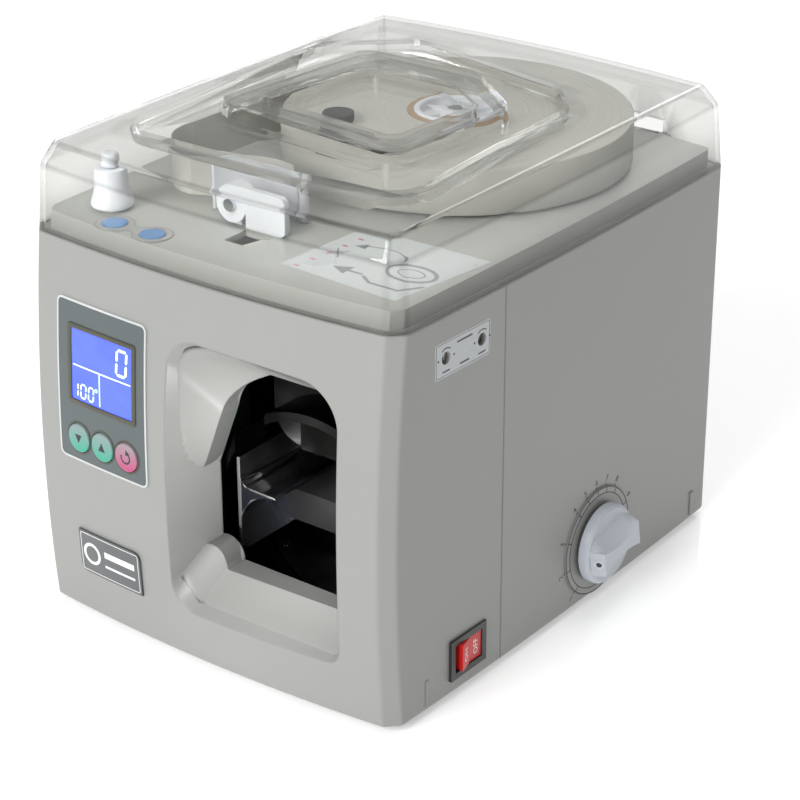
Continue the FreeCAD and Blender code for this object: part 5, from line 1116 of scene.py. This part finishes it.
def ring(centre, radius, width, steps=64):
    """A flat ring."""
    return ribbon(arc_points(centre, radius, 0, 360 * (1 - 1 / steps), steps - 1), width, closed=True)


def filled(points):
    """A flat shape with one face."""
    return [Vector(point) for point in points], [tuple(range(len(points)))]


def oblong(low, high, step=4.0):
    """A rectangle divided into a grid."""
    across = max(1, math.ceil((high[0] - low[0]) / step))
    along = max(1, math.ceil((high[1] - low[1]) / step))
    points = [Vector((low[0] + (high[0] - low[0]) * i / across, low[1] + (high[1] - low[1]) * j / along))
              for j in range(along + 1) for i in range(across + 1)]
    row = across + 1
    faces = [(j * row + i, j * row + i + 1, (j + 1) * row + i + 1, (j + 1) * row + i)
             for j in range(along) for i in range(across)]
    return points, faces


print("flat shapes:", ", ".join(shape.__name__ for shape in (ribbon, ring, filled, oblong)))

# %% [markdown]
# Two shapes need more work. A label with holes is filled by the same kind of triangulation as the lid's
# top. Words and numbers come from a text curve, which is made a mesh before it is turned and moved.

# %% Write the shapes with holes and the lettering
def pierced(outline, holes):
    """A flat sheet with holes, filled by a triangulation that keeps every loop as an edge."""
    points, edges = joined([outline] + holes)
    placed, _, triangles = delaunay_2d_cdt(points, edges, [], 1, 1e-5)[:3]
    kept = []
    for triangle in triangles:
        middle = sum((placed[corner] for corner in triangle), Vector((0, 0))) / 3
        if not any(inside(middle, [Vector(point) for point in hole]) for hole in holes):
            kept.append(tuple(triangle))
    return [Vector(point) for point in placed], kept


def lettering(words, size, centre=(0, 0), turned_by=0):
    """Words or numbers as flat shapes."""
    text = bpy.data.curves.new("words", "FONT")
    text.body = words
    text.size = size
    text.align_x = "CENTER"
    text.align_y = "CENTER"
    text.resolution_u = 3
    holder = added("words", text)
    bpy.context.view_layer.update()
    mesh = applied(holder)
    rotation = Matrix.Rotation(math.radians(turned_by), 2)
    points = [rotation @ vertex.co.xy + Vector(centre) for vertex in mesh.vertices]
    faces = [tuple(face.vertices) for face in mesh.polygons]
    bpy.data.meshes.remove(mesh)
    return points, faces


print("more shapes:", pierced.__name__, "and", lettering.__name__)

# %% [markdown]
# Three functions know where the surfaces are: the bowed front, the bowed right side and the flat deck.

# %% Find the surfaces
DECK_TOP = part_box("top_deck")[1].z / MM


def on_front(x, z, height):
    """A place above the bowed front."""
    return at(x, front_y(x, z) - height, z)


def on_side(y, z, height):
    """A place beside the bowed right side."""
    return at(side_x(y) + height, y, z)


def on_deck(x, y, height):
    """A place above the deck."""
    return at(x, y, DECK_TOP + height)


print("deck top at", round(DECK_TOP, 2), "mm")

# %% [markdown]
# ## On the deck
# Two glossy blue keys sit in a grey overlay shaped like a dumbbell. A thin line runs round the overlay
# and round each key. Further right a scrap of tape shows in the tape slot.

# %% Lay the keys and the scrap of tape
KEY_PLACES = {"left": (-57, -108.5), "right": (-36, -108.5)}
KEY_RADIUS, KEY_GAP = 5.5, 0.25
WAIST_FRONT, WAIST_BACK = [(-47.5, -111.0), (-45.5, -111.0)], [(-45.5, -106.0), (-47.5, -106.0)]
OVERLAY_RADIUS = 8.4
SLOT_PAPER = [(-1.8, -94.6), (5.4, -94.6), (5.4, -82.2), (1.6, -82.2)]
for side, centre in KEY_PLACES.items():
    low, high = (corner.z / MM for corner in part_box(f"touch_button_{side}"))
    key_profile = [(0, low), (KEY_RADIUS, low), (KEY_RADIUS, high - 0.45), (KEY_RADIUS - 0.15, high - 0.15),
                   (KEY_RADIUS - 0.6, high), (3.0, high - 0.12), (1.2, high - 0.2), (0, high - 0.22)]
    turned(f"touch_key_{side}", key_profile, centre, 48, "blue_key", f"touch_{side}", "blue_key",
           f"touch_button_{side}", closed=False)
dumbbell = arc_points(KEY_PLACES["left"], OVERLAY_RADIUS, 35, 325, 24) + WAIST_FRONT
dumbbell += arc_points(KEY_PLACES["right"], OVERLAY_RADIUS, 215, 505, 24) + WAIST_BACK
key_holes = [arc_points(centre, KEY_RADIUS + KEY_GAP, 0, 350, 35) for centre in KEY_PLACES.values()]
sheet("key_overlay", [pierced(dumbbell, key_holes)], on_deck, 0, 0.3, "label_grey", "panel_grey")
overlay_lines = [ribbon(dumbbell, 0.5, closed=True)] + [ribbon(hole, 0.45, closed=True) for hole in key_holes]
sheet("key_overlay_lines", overlay_lines, on_deck, 0.2, 0.36, "print_grey", "panel_grey")
sheet("slot_paper", [filled(SLOT_PAPER)], on_deck, -1.6, -1.2, "tape_paper", "paper")
print("keys laid:", len(KEY_PLACES))

# %% [markdown]
# To the right a paper label shows, as a plain line drawing, how the tape runs: an oval for the roll, two
# arrows and a few lines. Five short red rules stand where its text would be.

# %% Lay the label
LABEL = [(25.5, -100.1), (85.3, -103.4), (92, -48.9), (28.9, -50)]
LABEL_THICK, INK = 0.1, 0.04
LINE = 0.7
ROLL_DRAWN = (74, -78)


def ellipse(centre, half_wide, half_deep, steps):
    """The points of an ellipse."""
    angles = [step / steps * math.tau for step in range(steps)]
    return [(centre[0] + half_wide * math.cos(angle), centre[1] + half_deep * math.sin(angle))
            for angle in angles]


sheet("deck_label", [filled(rounded_polygon(LABEL, 1.0))], on_deck, 0, LABEL_THICK, "label_film",
      "white_plastic")
drawing = [ribbon(ellipse(ROLL_DRAWN, 11, 7.5, 40), 1.8, closed=True),
           ribbon(ellipse(ROLL_DRAWN, 6, 3.6, 30), LINE, closed=True),
           ribbon([(60, -91), (66, -95), (80, -95), (86, -86)], 1.6),
           ribbon(bend(Vector((41, -66)), Vector((62, -58)), Vector((66, -71)), 10), LINE),
           filled([(38, -68), (42.2, -63.4), (43.6, -68.6)]), filled([(44, -90), (52, -94), (52, -86)]),
           ribbon([(52, -90), (59, -90)], 1.4), ribbon([(34, -82), (40, -74)], LINE),
           ribbon([(34, -74), (40, -82)], LINE)]
sheet("label_drawing", drawing, on_deck, LABEL_THICK, LABEL_THICK + INK, "print_grey", "panel_grey")
rules = [ribbon([(30.5 + step, -98 + 9.2 * step), (33.2 + step, -98.2 + 9.2 * step)], 1.2)
         for step in range(5)]
sheet("label_rules", rules, on_deck, LABEL_THICK, LABEL_THICK + INK, "rose_key", "red_key")
print("label laid:", len(drawing), "shapes and", len(rules), "rules")

# %% [markdown]
# The white tape guides and the black pad under the lid are softened copies. The lid hangs on four short
# knuckles of its own plastic, which are tubes along X.

# %% Add the guides, the pad and the knuckles
KNUCKLES = ((-67, -60.3), (-51.7, -45), (45, 51.7), (60.3, 67))
KNUCKLE_RADIUS, KNUCKLE_BORE, KNUCKLE_ROUND = 2.2, 1.05, 0.2


def tube_along_x(name, low, high, centre, radius, bore, steps=32):
    """A tube along X about a centre (y, z)."""
    profile = [(bore, low), (radius - KNUCKLE_ROUND, low), (radius, low + KNUCKLE_ROUND),
               (radius, high - KNUCKLE_ROUND), (radius - KNUCKLE_ROUND, high), (bore, high)]
    points, faces = [], []
    for reach, x in profile:
        points += [at(x, *circle_point(centre, reach, math.tau * step / steps)) for step in range(steps)]
    for row in range(len(profile)):
        after = (row + 1) % len(profile)
        faces += [(row * steps + step, row * steps + (step + 1) % steps, after * steps + (step + 1) % steps,
                   after * steps + step) for step in range(steps)]
    return mesh_of(name, points, faces)


soften("tape_guide_block", "white_nylon", 0.7, "white_plastic", segments=3)
soften("tape_guide_arc", "white_nylon", 0.35, "white_plastic")
soften("roll_hold_down_pad", "rubber", 0.6, "black_plastic")
for number, (low, high) in enumerate(KNUCKLES):
    name = f"lid_knuckle_{number}"
    knuckle = tube_along_x(name, low, high, (HINGE_Y, HINGE_Z), KNUCKLE_RADIUS, KNUCKLE_BORE)
    piece(name, knuckle, "lid_plastic", "lid", "clear_lid")
print("knuckles:", len(KNUCKLES))

# %% [markdown]
# ## The control panel
# The panel is a grey film with a pale rim. Its display glows blue, and its keys are grey at the top and
# coloured below, so both need finishes of their own: one that gives off light, and one that changes with
# height.

# %% Mix the lit and the two-tone finishes
def lit(name, dark, light, strength):
    """A glowing surface whose light drifts a little from place to place."""
    FINISHES[name] = principled(name, light, 0.12, Emission_Strength=strength)
    tree = FINISHES[name].node_tree
    shader = tree.nodes["Principled BSDF"]
    colour = ramp(tree, grained(tree, clouds=40)["Clouds"], [(CLOUD_LOW, dark), (CLOUD_HIGH, light)])
    tree.links.new(colour, shader.inputs["Emission Color"])
    tree.links.new(colour, shader.inputs["Base Color"])


def two_tone(name, low_colour, high_colour, low_z, high_z):
    """A satin rubber whose colour changes with height, with a fine grain."""
    FINISHES[name] = principled(name, low_colour, 0.35)
    tree = FINISHES[name].node_tree
    shader = tree.nodes["Principled BSDF"]
    coordinates = put(tree, "TexCoord").outputs["Object"]
    height = put(tree, "SeparateXYZ", coordinates).outputs["Z"]
    share = put(tree, "MapRange", height, low_z * MM, high_z * MM, 0.0, 1.0).outputs[0]
    speckle = put(tree, "TexNoise", Vector=coordinates, Scale=600.0).outputs[0]
    share = maths(tree, "ADD", share, maths(tree, "MULTIPLY", maths(tree, "SUBTRACT", speckle, 0.5), 0.15))
    between = tuple((low + high) / 2 for low, high in zip(low_colour, high_colour))
    colour = ramp(tree, share, [(0.15, low_colour), (0.55, between), (0.9, high_colour)])
    tree.links.new(colour, shader.inputs["Base Color"])
    bump = put(tree, "Bump", Strength=1.0, Distance=0.00001, Height=speckle)
    tree.links.new(bump.outputs[0], shader.inputs["Normal"])


BUTTON_Z, BUTTON_RADIUS = 91.8, 6.5
key_span = (BUTTON_Z - BUTTON_RADIUS, BUTTON_Z + BUTTON_RADIUS)
lit("display_lit", (0.050, 0.085, 0.93), (0.070, 0.115, 1.0), 0.75)
lit("digit_lit", (0.55, 0.74, 1.0), (0.66, 0.82, 1.0), 0.9)
two_tone("down_up_key", (0.045, 0.33, 0.24), (0.22, 0.29, 0.29), *key_span)
two_tone("reset_key", (0.42, 0.06, 0.17), (0.30, 0.24, 0.27), *key_span)
print("finishes now:", len(FINISHES))

# %% [markdown]
# The display shows a count and a temperature. A seven segment digit is drawn from up to seven bars with
# small gaps between them, leaning a little to the right. Which bars are lit decides the number.

# %% Draw the display
SEGMENTS = {"0": "abcdef", "1": "bc"}
DISPLAY_LOW, DISPLAY_HIGH = (-69.9, 109.7), (-33.5, 141.7)
FILM = 0.6
COUNT_LOW, COUNT_SIZE = (-42.6, 128.1), (5.6, 11.2)
HEAT_LEFTS, HEAT_LOW, HEAT_SIZE = (("1", -69.4), ("0", -64.6), ("0", -59.8)), 111.2, (3.0, 6.2)


def digit(sign, low, size, stroke, lean=0.06):
    """The lit bars of one digit in a box of a given size with its low left corner at low."""
    wide, tall = size
    gap = stroke * 0.35
    bars = {"a": ((gap, tall), (wide - gap, tall)), "d": ((gap, 0), (wide - gap, 0)),
            "f": ((0, tall / 2 + gap), (0, tall - gap)), "e": ((0, gap), (0, tall / 2 - gap)),
            "b": ((wide, tall / 2 + gap), (wide, tall - gap)), "c": ((wide, gap), (wide, tall / 2 - gap))}
    shapes = []
    for name in SEGMENTS[sign]:
        start, end = (Vector(point) for point in bars[name])
        along = (end - start).normalized() * stroke / 2
        across = Vector((-along.y, along.x))
        corners = [start - along * 0.2, start + along * 0.8 - across, end - along * 0.8 - across,
                   end + along * 0.2, end - along * 0.8 + across, start + along * 0.8 + across]
        shapes.append(filled([(low[0] + point.x + lean * point.y, low[1] + point.y) for point in corners]))
    return shapes


sheet("display_face", [oblong(DISPLAY_LOW, DISPLAY_HIGH)], on_front, FILM - 0.1, FILM + 0.06, "display_lit",
      "display")
marks = digit("0", COUNT_LOW, COUNT_SIZE, 1.25)
for sign, left in HEAT_LEFTS:
    marks += digit(sign, (left, HEAT_LOW), HEAT_SIZE, 0.8)
marks += [ring((-54.9, 117.0), 0.7, 0.4, 20), oblong((-69.0, 125.1), (-34.2, 125.7)),
          oblong((-53.1, 110.4), (-52.5, 125.1))]
sheet("display_marks", marks, on_front, FILM + 0.06, FILM + 0.1, "digit_lit", "display")
refinish("lcd_module", "black_plastic")
soften("display_bezel", "dark_bezel", 0.18, "dark_bezel")
print("display drawn with", len(marks), "marks")

# %% [markdown]
# The panel's rim, the dark wells of its three keys and the symbols on them follow the bowed front: two
# triangles for down and up, and a turned arrow for reset.

# %% Dress the panel and its keys
PANEL = ((-79, 80.5), (-25.5, 80.5), (-25.5, 154), (-79, 154))
BUTTONS = {"button_down": -66.3, "button_up": -51.8, "button_reset": -37.3}
KEY_PROUD = 1.6
refinish("control_overlay", "panel_film")
rim_path = finer(rounded_polygon(PANEL, 3.5, -0.35))
sheet("panel_edge", [ribbon(rim_path, 0.9, closed=True)], on_front, 0, FILM + 0.08, "panel_rim", "panel_grey")
wells = [ring((x, BUTTON_Z), BUTTON_RADIUS + 0.75, 0.8) for x in BUTTONS.values()]
sheet("key_wells", wells, on_front, FILM - 0.05, FILM + 0.12, "dark_bezel", "dark_bezel")
for node, x in BUTTONS.items():
    if node == "button_reset":
        soften(node, "reset_key", 0.7, "red_key", segments=3)
        symbol = [ribbon(arc_points((x, BUTTON_Z), 2.5, -200, 70, 20), 0.8),
                  filled([(x + 0.2, BUTTON_Z + 3.9), (x + 2.6, BUTTON_Z + 2.3), (x + 0.1, BUTTON_Z + 1.1)])]
    else:
        soften(node, "down_up_key", 0.7, "green_key", segments=3)
        sign = 1 if node == "button_up" else -1
        foot, tip = BUTTON_Z - sign * 1.7, BUTTON_Z + sign * 2.3
        symbol = [filled([(x - 2.1, foot), (x + 2.1, foot), (x, tip)][::sign])]
    sheet(f"{node}_symbol", symbol, on_front, KEY_PROUD - 0.02, KEY_PROUD + 0.03, "print_black",
          "black_plastic", body_of(node))
print("keys dressed:", len(BUTTONS))

# %% [markdown]
# The name plate below the panel is bare brushed metal. It carries only a thin frame, a plain ring and two
# bars.

# %% Dress the name plate
PLATE = ((-71.2, 25.3), (-33.4, 25.3), (-33.4, 46.1), (-71.2, 46.1))
PLATE_PROUD = 1.1
refinish("name_plate", "name_plate_metal")
plate_path = finer(rounded_polygon(PLATE, 2.5, -1.1))
plate_marks = [ribbon(plate_path, 0.35, closed=True), ring((-63.5, 35.7), 4.6, 1.5),
               oblong((-55.5, 36.6), (-37, 39.6)), oblong((-55.5, 31.6), (-37, 32.8))]
sheet("name_plate_marks", plate_marks, on_front, PLATE_PROUD, PLATE_PROUD + 0.05, "print_white",
      "white_plastic")
print("marks on the plate:", len(plate_marks))

# %% [markdown]
# ## The right side
# A label with two holes shows the trimmer screws. A short arc, two dots and a bar stand round each hole,
# two longer bars stand between the holes, and a fine line runs along the label's border.

# %% Dress the trimmers
TRIMMERS = ((-88.4, 160.1), (-65.0, 160.0))
TRIMMER_HOLE = 2.75
SIDE_LABEL = [(-95.4, 152.0), (-59.5, 152.0), (-59.5, 167.5), (-95.4, 167.5)]
label_loop = finer(rounded_polygon(SIDE_LABEL, 1.6), 5)
trimmer_holes = [arc_points(centre, TRIMMER_HOLE, 0, 350, 35) for centre in TRIMMERS]
sheet("side_label", [pierced(label_loop, trimmer_holes)], on_side, 0, LABEL_THICK, "label_film",
      "white_plastic")
side_marks = [ribbon(rounded_polygon(SIDE_LABEL, 1.6, -0.7), 0.2, closed=True)]
for y, z in TRIMMERS:
    side_marks.append(ribbon(arc_points((y, z), 4.3, 50, 130, 12), 0.45))
    side_marks += [filled(arc_points((y + step, z), 0.5, 0, 330, 11)) for step in (-5, 5)]
    side_marks.append(ribbon([(y - 2.4, z - 5.6), (y + 2.4, z - 5.6)], 0.6))
side_marks += [ribbon([(-81.5, 164.6), (-71.5, 164.6)], 0.7), ribbon([(-79.5, 154.6), (-73.5, 154.6)], 0.7)]
sheet("side_label_marks", side_marks, on_side, LABEL_THICK, LABEL_THICK + INK, "print_black", "black_plastic")
for node in ("trimmer_screw_front", "trimmer_screw_rear"):
    refinish(node, "motor_steel")
print("marks on the side label:", len(side_marks))

# %% [markdown]
# The red mains rocker has two faces that meet at a ridge, one flat and one raised. It carries the usual
# words ON and OFF, one on each face.

# %% Dress the switch
soften("switch_frame", "black_plastic", 0.35, "black_plastic")
soften("rocker", "red_rocker", 0.35, "red_rocker", segments=3)
RIDGE = Vector((99.93, -71.71))
SWITCH_Z, HALF_FACE = 19.5, 4.1
FLAT_FACE = (Vector((0, 1)), Vector((1, 0)))
RAISED_FACE = (Vector((0.275, -0.961)), Vector((0.961, 0.275)))


def on_rocker(face, sign):
    """A place on one of the rocker's two faces, measured along it from the middle of the face."""
    along, out = face

    def place(u, v, height):
        flat = RIDGE + along * (HALF_FACE + sign * u) + out * height
        return at(flat.x, flat.y, SWITCH_Z + v)
    return place


for words, face, sign in (("ON", RAISED_FACE, -1), ("OFF", FLAT_FACE, 1)):
    sheet(f"rocker_{words}", [lettering(words, 4.2, (0, 0), 90)], on_rocker(face, sign), -0.05, 0.06,
          "print_white", "white_plastic", "mains_rocker")
print("switch dressed")

# %% [markdown]
# ## The dial
# The knob is a disc with a finger bar across it. The disc is turned like the roll, but about the dial's
# axis, which lies along X. A place on the knob is given by p along the bar, q across it, and x outwards.

# %% Turn the knob's disc
DIAL = Vector((24.5, 30))
POINTER = math.radians(190.4)
PLATE_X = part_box("dial_plate")[1].x / MM - CASING_X / MM
KNOB_FOOT = PLATE_X + 1.6
KNOB_RADIUS, FACE_RADIUS = 18.5, 17.1
KNOB_FACE = KNOB_FOOT + 5.2


def on_knob(p, q, x):
    """A place on the knob: p along the bar towards the pointer, q across it, x outwards."""
    flat = Matrix.Rotation(POINTER, 2) @ Vector((p, q))
    return at(x, DIAL.x + flat.x, DIAL.y + flat.y)


def lathe_along_x(profile, steps=120):
    """Points and faces of a profile of (radius, x) spun about the knob's axis, closed on the axis."""
    points = [on_knob(0, 0, profile[0][1])]
    for radius, x in profile[1:-1]:
        angles = [math.tau * step / steps for step in range(steps)]
        points += [on_knob(*circle_point((0, 0), radius, angle), x) for angle in angles]
    points.append(on_knob(0, 0, profile[-1][1]))
    faces = [(0, 1 + (step + 1) % steps, 1 + step) for step in range(steps)]
    for row in range(len(profile) - 3):
        first = 1 + row * steps
        faces += [(first + step, first + (step + 1) % steps, first + steps + (step + 1) % steps,
                   first + steps + step) for step in range(steps)]
    first = len(points) - 1 - steps
    faces += [(first + step, first + (step + 1) % steps, len(points) - 1) for step in range(steps)]
    return points, faces


disc_profile = [(0, KNOB_FOOT), (KNOB_RADIUS - 0.4, KNOB_FOOT), (KNOB_RADIUS, KNOB_FOOT + 0.4),
                (KNOB_RADIUS, KNOB_FACE - 1.3), (KNOB_RADIUS - 0.25, KNOB_FACE - 0.8),
                (FACE_RADIUS, KNOB_FACE), (FACE_RADIUS - 1, KNOB_FACE - 0.1), (0, KNOB_FACE - 0.4)]
piece("dial_knob_disc", mesh_of("dial_knob_disc", *lathe_along_x(disc_profile)), "knob_plastic", "depth_dial",
      "white_plastic", ("dial_knob",))
print("knob's disc: radius", KNOB_RADIUS, "mm")

# %% [markdown]
# The finger bar has two scoops, one on each side, which leave a waisted ridge between them. It is a grid:
# its rows run along the bar, and each row is half a section, from the middle of the ridge down one scoop,
# mirrored. The bar's ends lean inwards towards the top.

# %% Shape the finger bar
KNOB_TOP = 114
BAR_END, BAR_LEAN = 14.0, 2.0
BAR_WAIST, BAR_FLARE = 2.9, 3.3
SCOOP_REACH, SCOOP_CURVE = 12.5, 2.2
ROWS, FLAT_COLUMNS, SCOOP_COLUMNS = 40, 4, 16


def bar_end(x):
    """Half the bar's length at a height: its ends lean inwards towards the top."""
    return BAR_END + BAR_LEAN * (KNOB_TOP - x) / (KNOB_TOP - KNOB_FACE)


def bar_section(share_along):
    """The bar's section at a share of the way from its middle to its end, as (q, x) points."""
    ridge = BAR_WAIST + BAR_FLARE * share_along ** 2
    widest = math.sqrt(FACE_RADIUS ** 2 - (share_along * bar_end(KNOB_FACE)) ** 2) - 0.3
    reach = max(ridge + 0.5, min(SCOOP_REACH, widest))
    foot = KNOB_FACE - 0.6
    half = [(ridge * step / FLAT_COLUMNS, KNOB_TOP) for step in range(FLAT_COLUMNS)]
    for share in (step / SCOOP_COLUMNS for step in range(SCOOP_COLUMNS + 1)):
        half.append((ridge + (reach - ridge) * share, foot + (KNOB_TOP - foot) * (1 - share) ** SCOOP_CURVE))
    half.append((reach, KNOB_FACE - 1.5))
    return [(-q, x) for q, x in reversed(half[1:])] + half


bar_points, bar_faces = [], []
for row in range(ROWS + 1):
    share_along = 2 * row / ROWS - 1
    section = bar_section(share_along)
    bar_points += [on_knob(share_along * bar_end(x), q, x) for q, x in section]
wide = len(section)
for row in range(ROWS):
    here, there = row * wide, (row + 1) * wide
    bar_faces += [(here + step, here + step + 1, there + step + 1, there + step) for step in range(wide - 1)]
    bar_faces.append((here + wide - 1, here, there, there + wide - 1))
bar_faces += [tuple(range(wide)), tuple(ROWS * wide + step for step in reversed(range(wide)))]
piece("dial_knob_bar", mesh_of("dial_knob_bar", bar_points, bar_faces), "knob_plastic", "depth_dial",
      "white_plastic", smooth=30)
print("points on the bar:", len(bar_points))

# %% [markdown]
# The bar's flat end that faces the scale has a small pointer hole with a white rim. The hole is a black disc,
# whose darkness is painted shade.

# %% Add the pointer hole
HOLE_X = KNOB_FACE + 3.6
HOLE_RADIUS, HOLE_SUNK = 1.25, -0.3


def on_bar_end(u, v, height):
    """A place on the bar's flat end: u across the bar, v outwards from the casing."""
    return on_knob(bar_end(v) + height, u, v)


# Painted shade: a black disc, not a cut hole, shows the dark inside of the pointer hole.
sheet("pointer_hole_painted_shade", [filled(arc_points((0, HOLE_X), HOLE_RADIUS, 0, 345, 23))], on_bar_end, HOLE_SUNK, 0.05,
      "print_black", "black_plastic", "depth_dial")
sheet("pointer_rim", [ring((0, HOLE_X), HOLE_RADIUS + 0.5, 0.8, 24)], on_bar_end, HOLE_SUNK, 0.18,
      "white_nylon", "white_plastic", "depth_dial")
print("pointer hole at x =", round(HOLE_X, 1), "mm")

# %% [markdown]
# The scale is printed on a thin round plate: two rings and a tick for each number. The numbers and a
# second, shorter tick for each stand outside it, on the casing's side.

# %% Print the scale
SCALE = {"1": 228, "2": 194, "3": 161, "4": 129, "5": 110, "6": 92, "7": 75, "8": 56, "9": 24}
OUTER_RING, INNER_RING = 25.15, 22.4
NUMBER_RADIUS = 28.8


def on_plate(y, z, height):
    """A place above the flat scale plate."""
    return at(PLATE_X + height, y, z)


refinish("dial_plate", "casing_plastic")
scale_marks = [ring(DIAL, OUTER_RING, 0.5, 96), ring(DIAL, INNER_RING, 0.45, 96)]
numbers = []
for number, angle in SCALE.items():
    out = Vector(circle_point((0, 0), 1, math.radians(angle)))
    scale_marks.append(ribbon([DIAL + out * 22.6, DIAL + out * 25.0], 0.5))
    numbers.append(lettering(number, 4.0, DIAL + out * NUMBER_RADIUS, angle - 90))
    numbers.append(ribbon([DIAL + out * 25.5, DIAL + out * 26.7], 0.45))
sheet("scale_marks", scale_marks, on_plate, -0.02, 0.05, "print_black", "black_plastic")
sheet("scale_numbers", numbers, on_side, 0, 0.05, "print_black", "black_plastic")
print("numbers on the scale:", len(SCALE))

# %% [markdown]
# ## The duct behind the mouth
# The mouth narrows like a funnel, and a short duct lies behind it: its floor and its S-shaped left side
# are darker bands round the opening, whose darker grey is painted shade for the recess. Both outlines are
# divided into the same stretches, some straight and some curved through a third corner. The duct is deep
# at the sill and on the left, and runs out at the top and on the right. On the straight left side the lip
# is tucked half a millimetre behind the casing's own wall.

# %% Follow the outlines of the mouth and the throat
LEFT = -15.5
MOUTH = [(LEFT, 38), (LEFT, 92), (LEFT, 142.5), (-11.4, 152.4), (-1.5, 156.5), (55.5, 156.5), (68.2, 151.2),
         (73.5, 138.5), (73.5, 33), (71.5, 28), (66.5, 26), (-3.5, 26), (-12, 29.5)]
THROAT = [(LEFT, 47.5), (LEFT, 83), (-4, 113), (0.5, 123), (14.5, 132), (46, 132), (64, 124), (70, 106),
          (70, 45.5), (68, 40.5), (63, 38.5), (-3.5, 38.5), (-7.5, 46.5)]
STRETCHES = ((0, 1), (1, 2), (2, 3, 4), (4, 5), (5, 6, 7), (7, 8), (8, 9, 10), (10, 11), (11, 12, 0))
DEPTHS = (11.5, 11.5, 11.5, 1.0, 0.6, 0.6, 0.6, 9.0, 11.5, 11.5)
TUCKED = 0.5
STRETCH_STEPS = 14


def along_stretch(corners, stretch, t):
    """A point of a stretch: straight between two corners, or a curve through a third."""
    start, end = Vector(corners[stretch[0]]), Vector(corners[stretch[-1]])
    if len(stretch) == 2:
        return start.lerp(end, t)
    return curve(start, Vector(corners[stretch[1]]) * 2 - (start + end) / 2, end, t)


spots = []
for number, stretch in enumerate(STRETCHES):
    for t in (step / STRETCH_STEPS for step in range(STRETCH_STEPS)):
        depth = DEPTHS[number] + (DEPTHS[number + 1] - DEPTHS[number]) * t
        tuck = {0: TUCKED, 1: max(0, TUCKED - 3 * t), 8: max(0, TUCKED - 4 * (1 - t))}.get(number, 0)
        spots.append((along_stretch(THROAT, stretch, t), along_stretch(MOUTH, stretch, t), depth, tuck))
print("places round the throat:", len(spots))

# %% [markdown]
# The lip is a closed ring of sections that follows the throat. Each section runs along the duct, over a
# narrow bevelled edge and down a ramp that dives into the funnel's wall. The faces along the duct take
# the darker grey, which is painted shade for the recess.

# %% Build the lip of the throat
THROAT_Y, MOUTH_RUN, RAMP_RUN = -95, 36.4, 28.5
LIP_EDGE = 0.3
LIP_ROWS = 5
lip_points, lip_faces = [], []
for number, (throat, mouth, depth, tuck) in enumerate(spots):
    run = spots[(number + 1) % len(spots)][0] - spots[number - 1][0]
    out = Vector((-run.y, run.x)).normalized()
    foot = throat.lerp(mouth, RAMP_RUN / MOUTH_RUN) + out * 0.4
    section = [(throat + out * (tuck + 1), LIP_EDGE), (throat + out * tuck, LIP_EDGE),
               (throat + out * tuck, depth - LIP_EDGE), (throat + out * (tuck + LIP_EDGE), depth),
               (foot, RAMP_RUN)]
    lip_points += [at(spot.x, THROAT_Y - ahead, spot.y) for spot, ahead in section]
for number in range(len(spots)):
    here, there = number * LIP_ROWS, (number + 1) % len(spots) * LIP_ROWS
    for row in range(LIP_ROWS):
        after = (row + 1) % LIP_ROWS
        lip_faces.append((here + row, here + after, there + after, there + row))
lip = piece("throat_lip", mesh_of("throat_lip", lip_points, lip_faces), "casing_plastic", "casing", "casing",
            smooth=40)
# Painted shade: the faces along the duct get the darker grey of the recess.
lip.data.materials.append(FINISHES["painted_shade_duct"])
for face in lip.data.polygons:
    face.material_index = 1 if face.index % LIP_ROWS == 1 else 0
print("lip of the throat:", len(lip.data.polygons), "faces")

# %% [markdown]
# ## Inside and behind
# Through the mouth one sees dark steel, the bright edge of the note guide and its bluish fin.

# %% Dress what the mouth shows
FIN = [(-7.9, 74.0), (-6.2, 71.9), (-2.4, 70.7), (7.4, 70.3), (-2.4, 66.4), (-7.9, 58.5)]
FIN_Y = -91


def on_fin(x, z, height):
    """A place ahead of the fin's front face."""
    return at(x, FIN_Y - height, z)


soften("note_guide", "bright_steel", 0.5, "bright_steel", segments=3)
sheet("fin_face", [filled(FIN)], on_fin, -0.02, 0.05, "blued_steel", "bright_steel")
soften("press_head", "black_plastic", 0.8, "black_plastic")
print("fin's corners:", len(FIN))

# %% [markdown]
# The feet and the mains inlet are softened copies too. Everything else inside is only seen when a cover
# is off, but it gets its own finish all the same.

# %% Finish the inside
INSIDE = {
    "rolled_steel": ("base_plate", "press_rack", "press_pinion", "feed_bracket", "stop_brackets",
                     "pcb_bracket", "power_supply"),
    "bright_steel": ("lid_hinge_pins", "roll_spindle", "frame_spacers", "machine_screws", "guide_rods"),
    "blued_steel": ("front_frame", "rear_frame", "top_bracket"),
    "dark_steel": ("tape_arch", "cutter_blade"),
    "board_green": ("touch_board", "panel_board", "main_board"),
    "black_plastic": ("trimmer_pots", "heater_block"),
    "rubber": ("feed_roller", "pinch_roller"),
    "motor_steel": ("drive_motors",),
    "white_nylon": ("back_stop",),
    "brass": ("dial_shaft",),
}
soften("rubber_feet", "rubber", 0.6, "rubber")
soften("power_inlet", "black_plastic", 0.3, "black_plastic")
for finish_name, parts in INSIDE.items():
    for node in parts:
        refinish(node, finish_name)
    print(finish_name, "on", ", ".join(parts))

# %% Show the sizes and finish
low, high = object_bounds()
{"cad": [list(cad_box[0]), list(cad_box[1])], "visual": [list(low), list(high)]}
print("dressed model:", [round(value, 4) for value in high - low], "m")
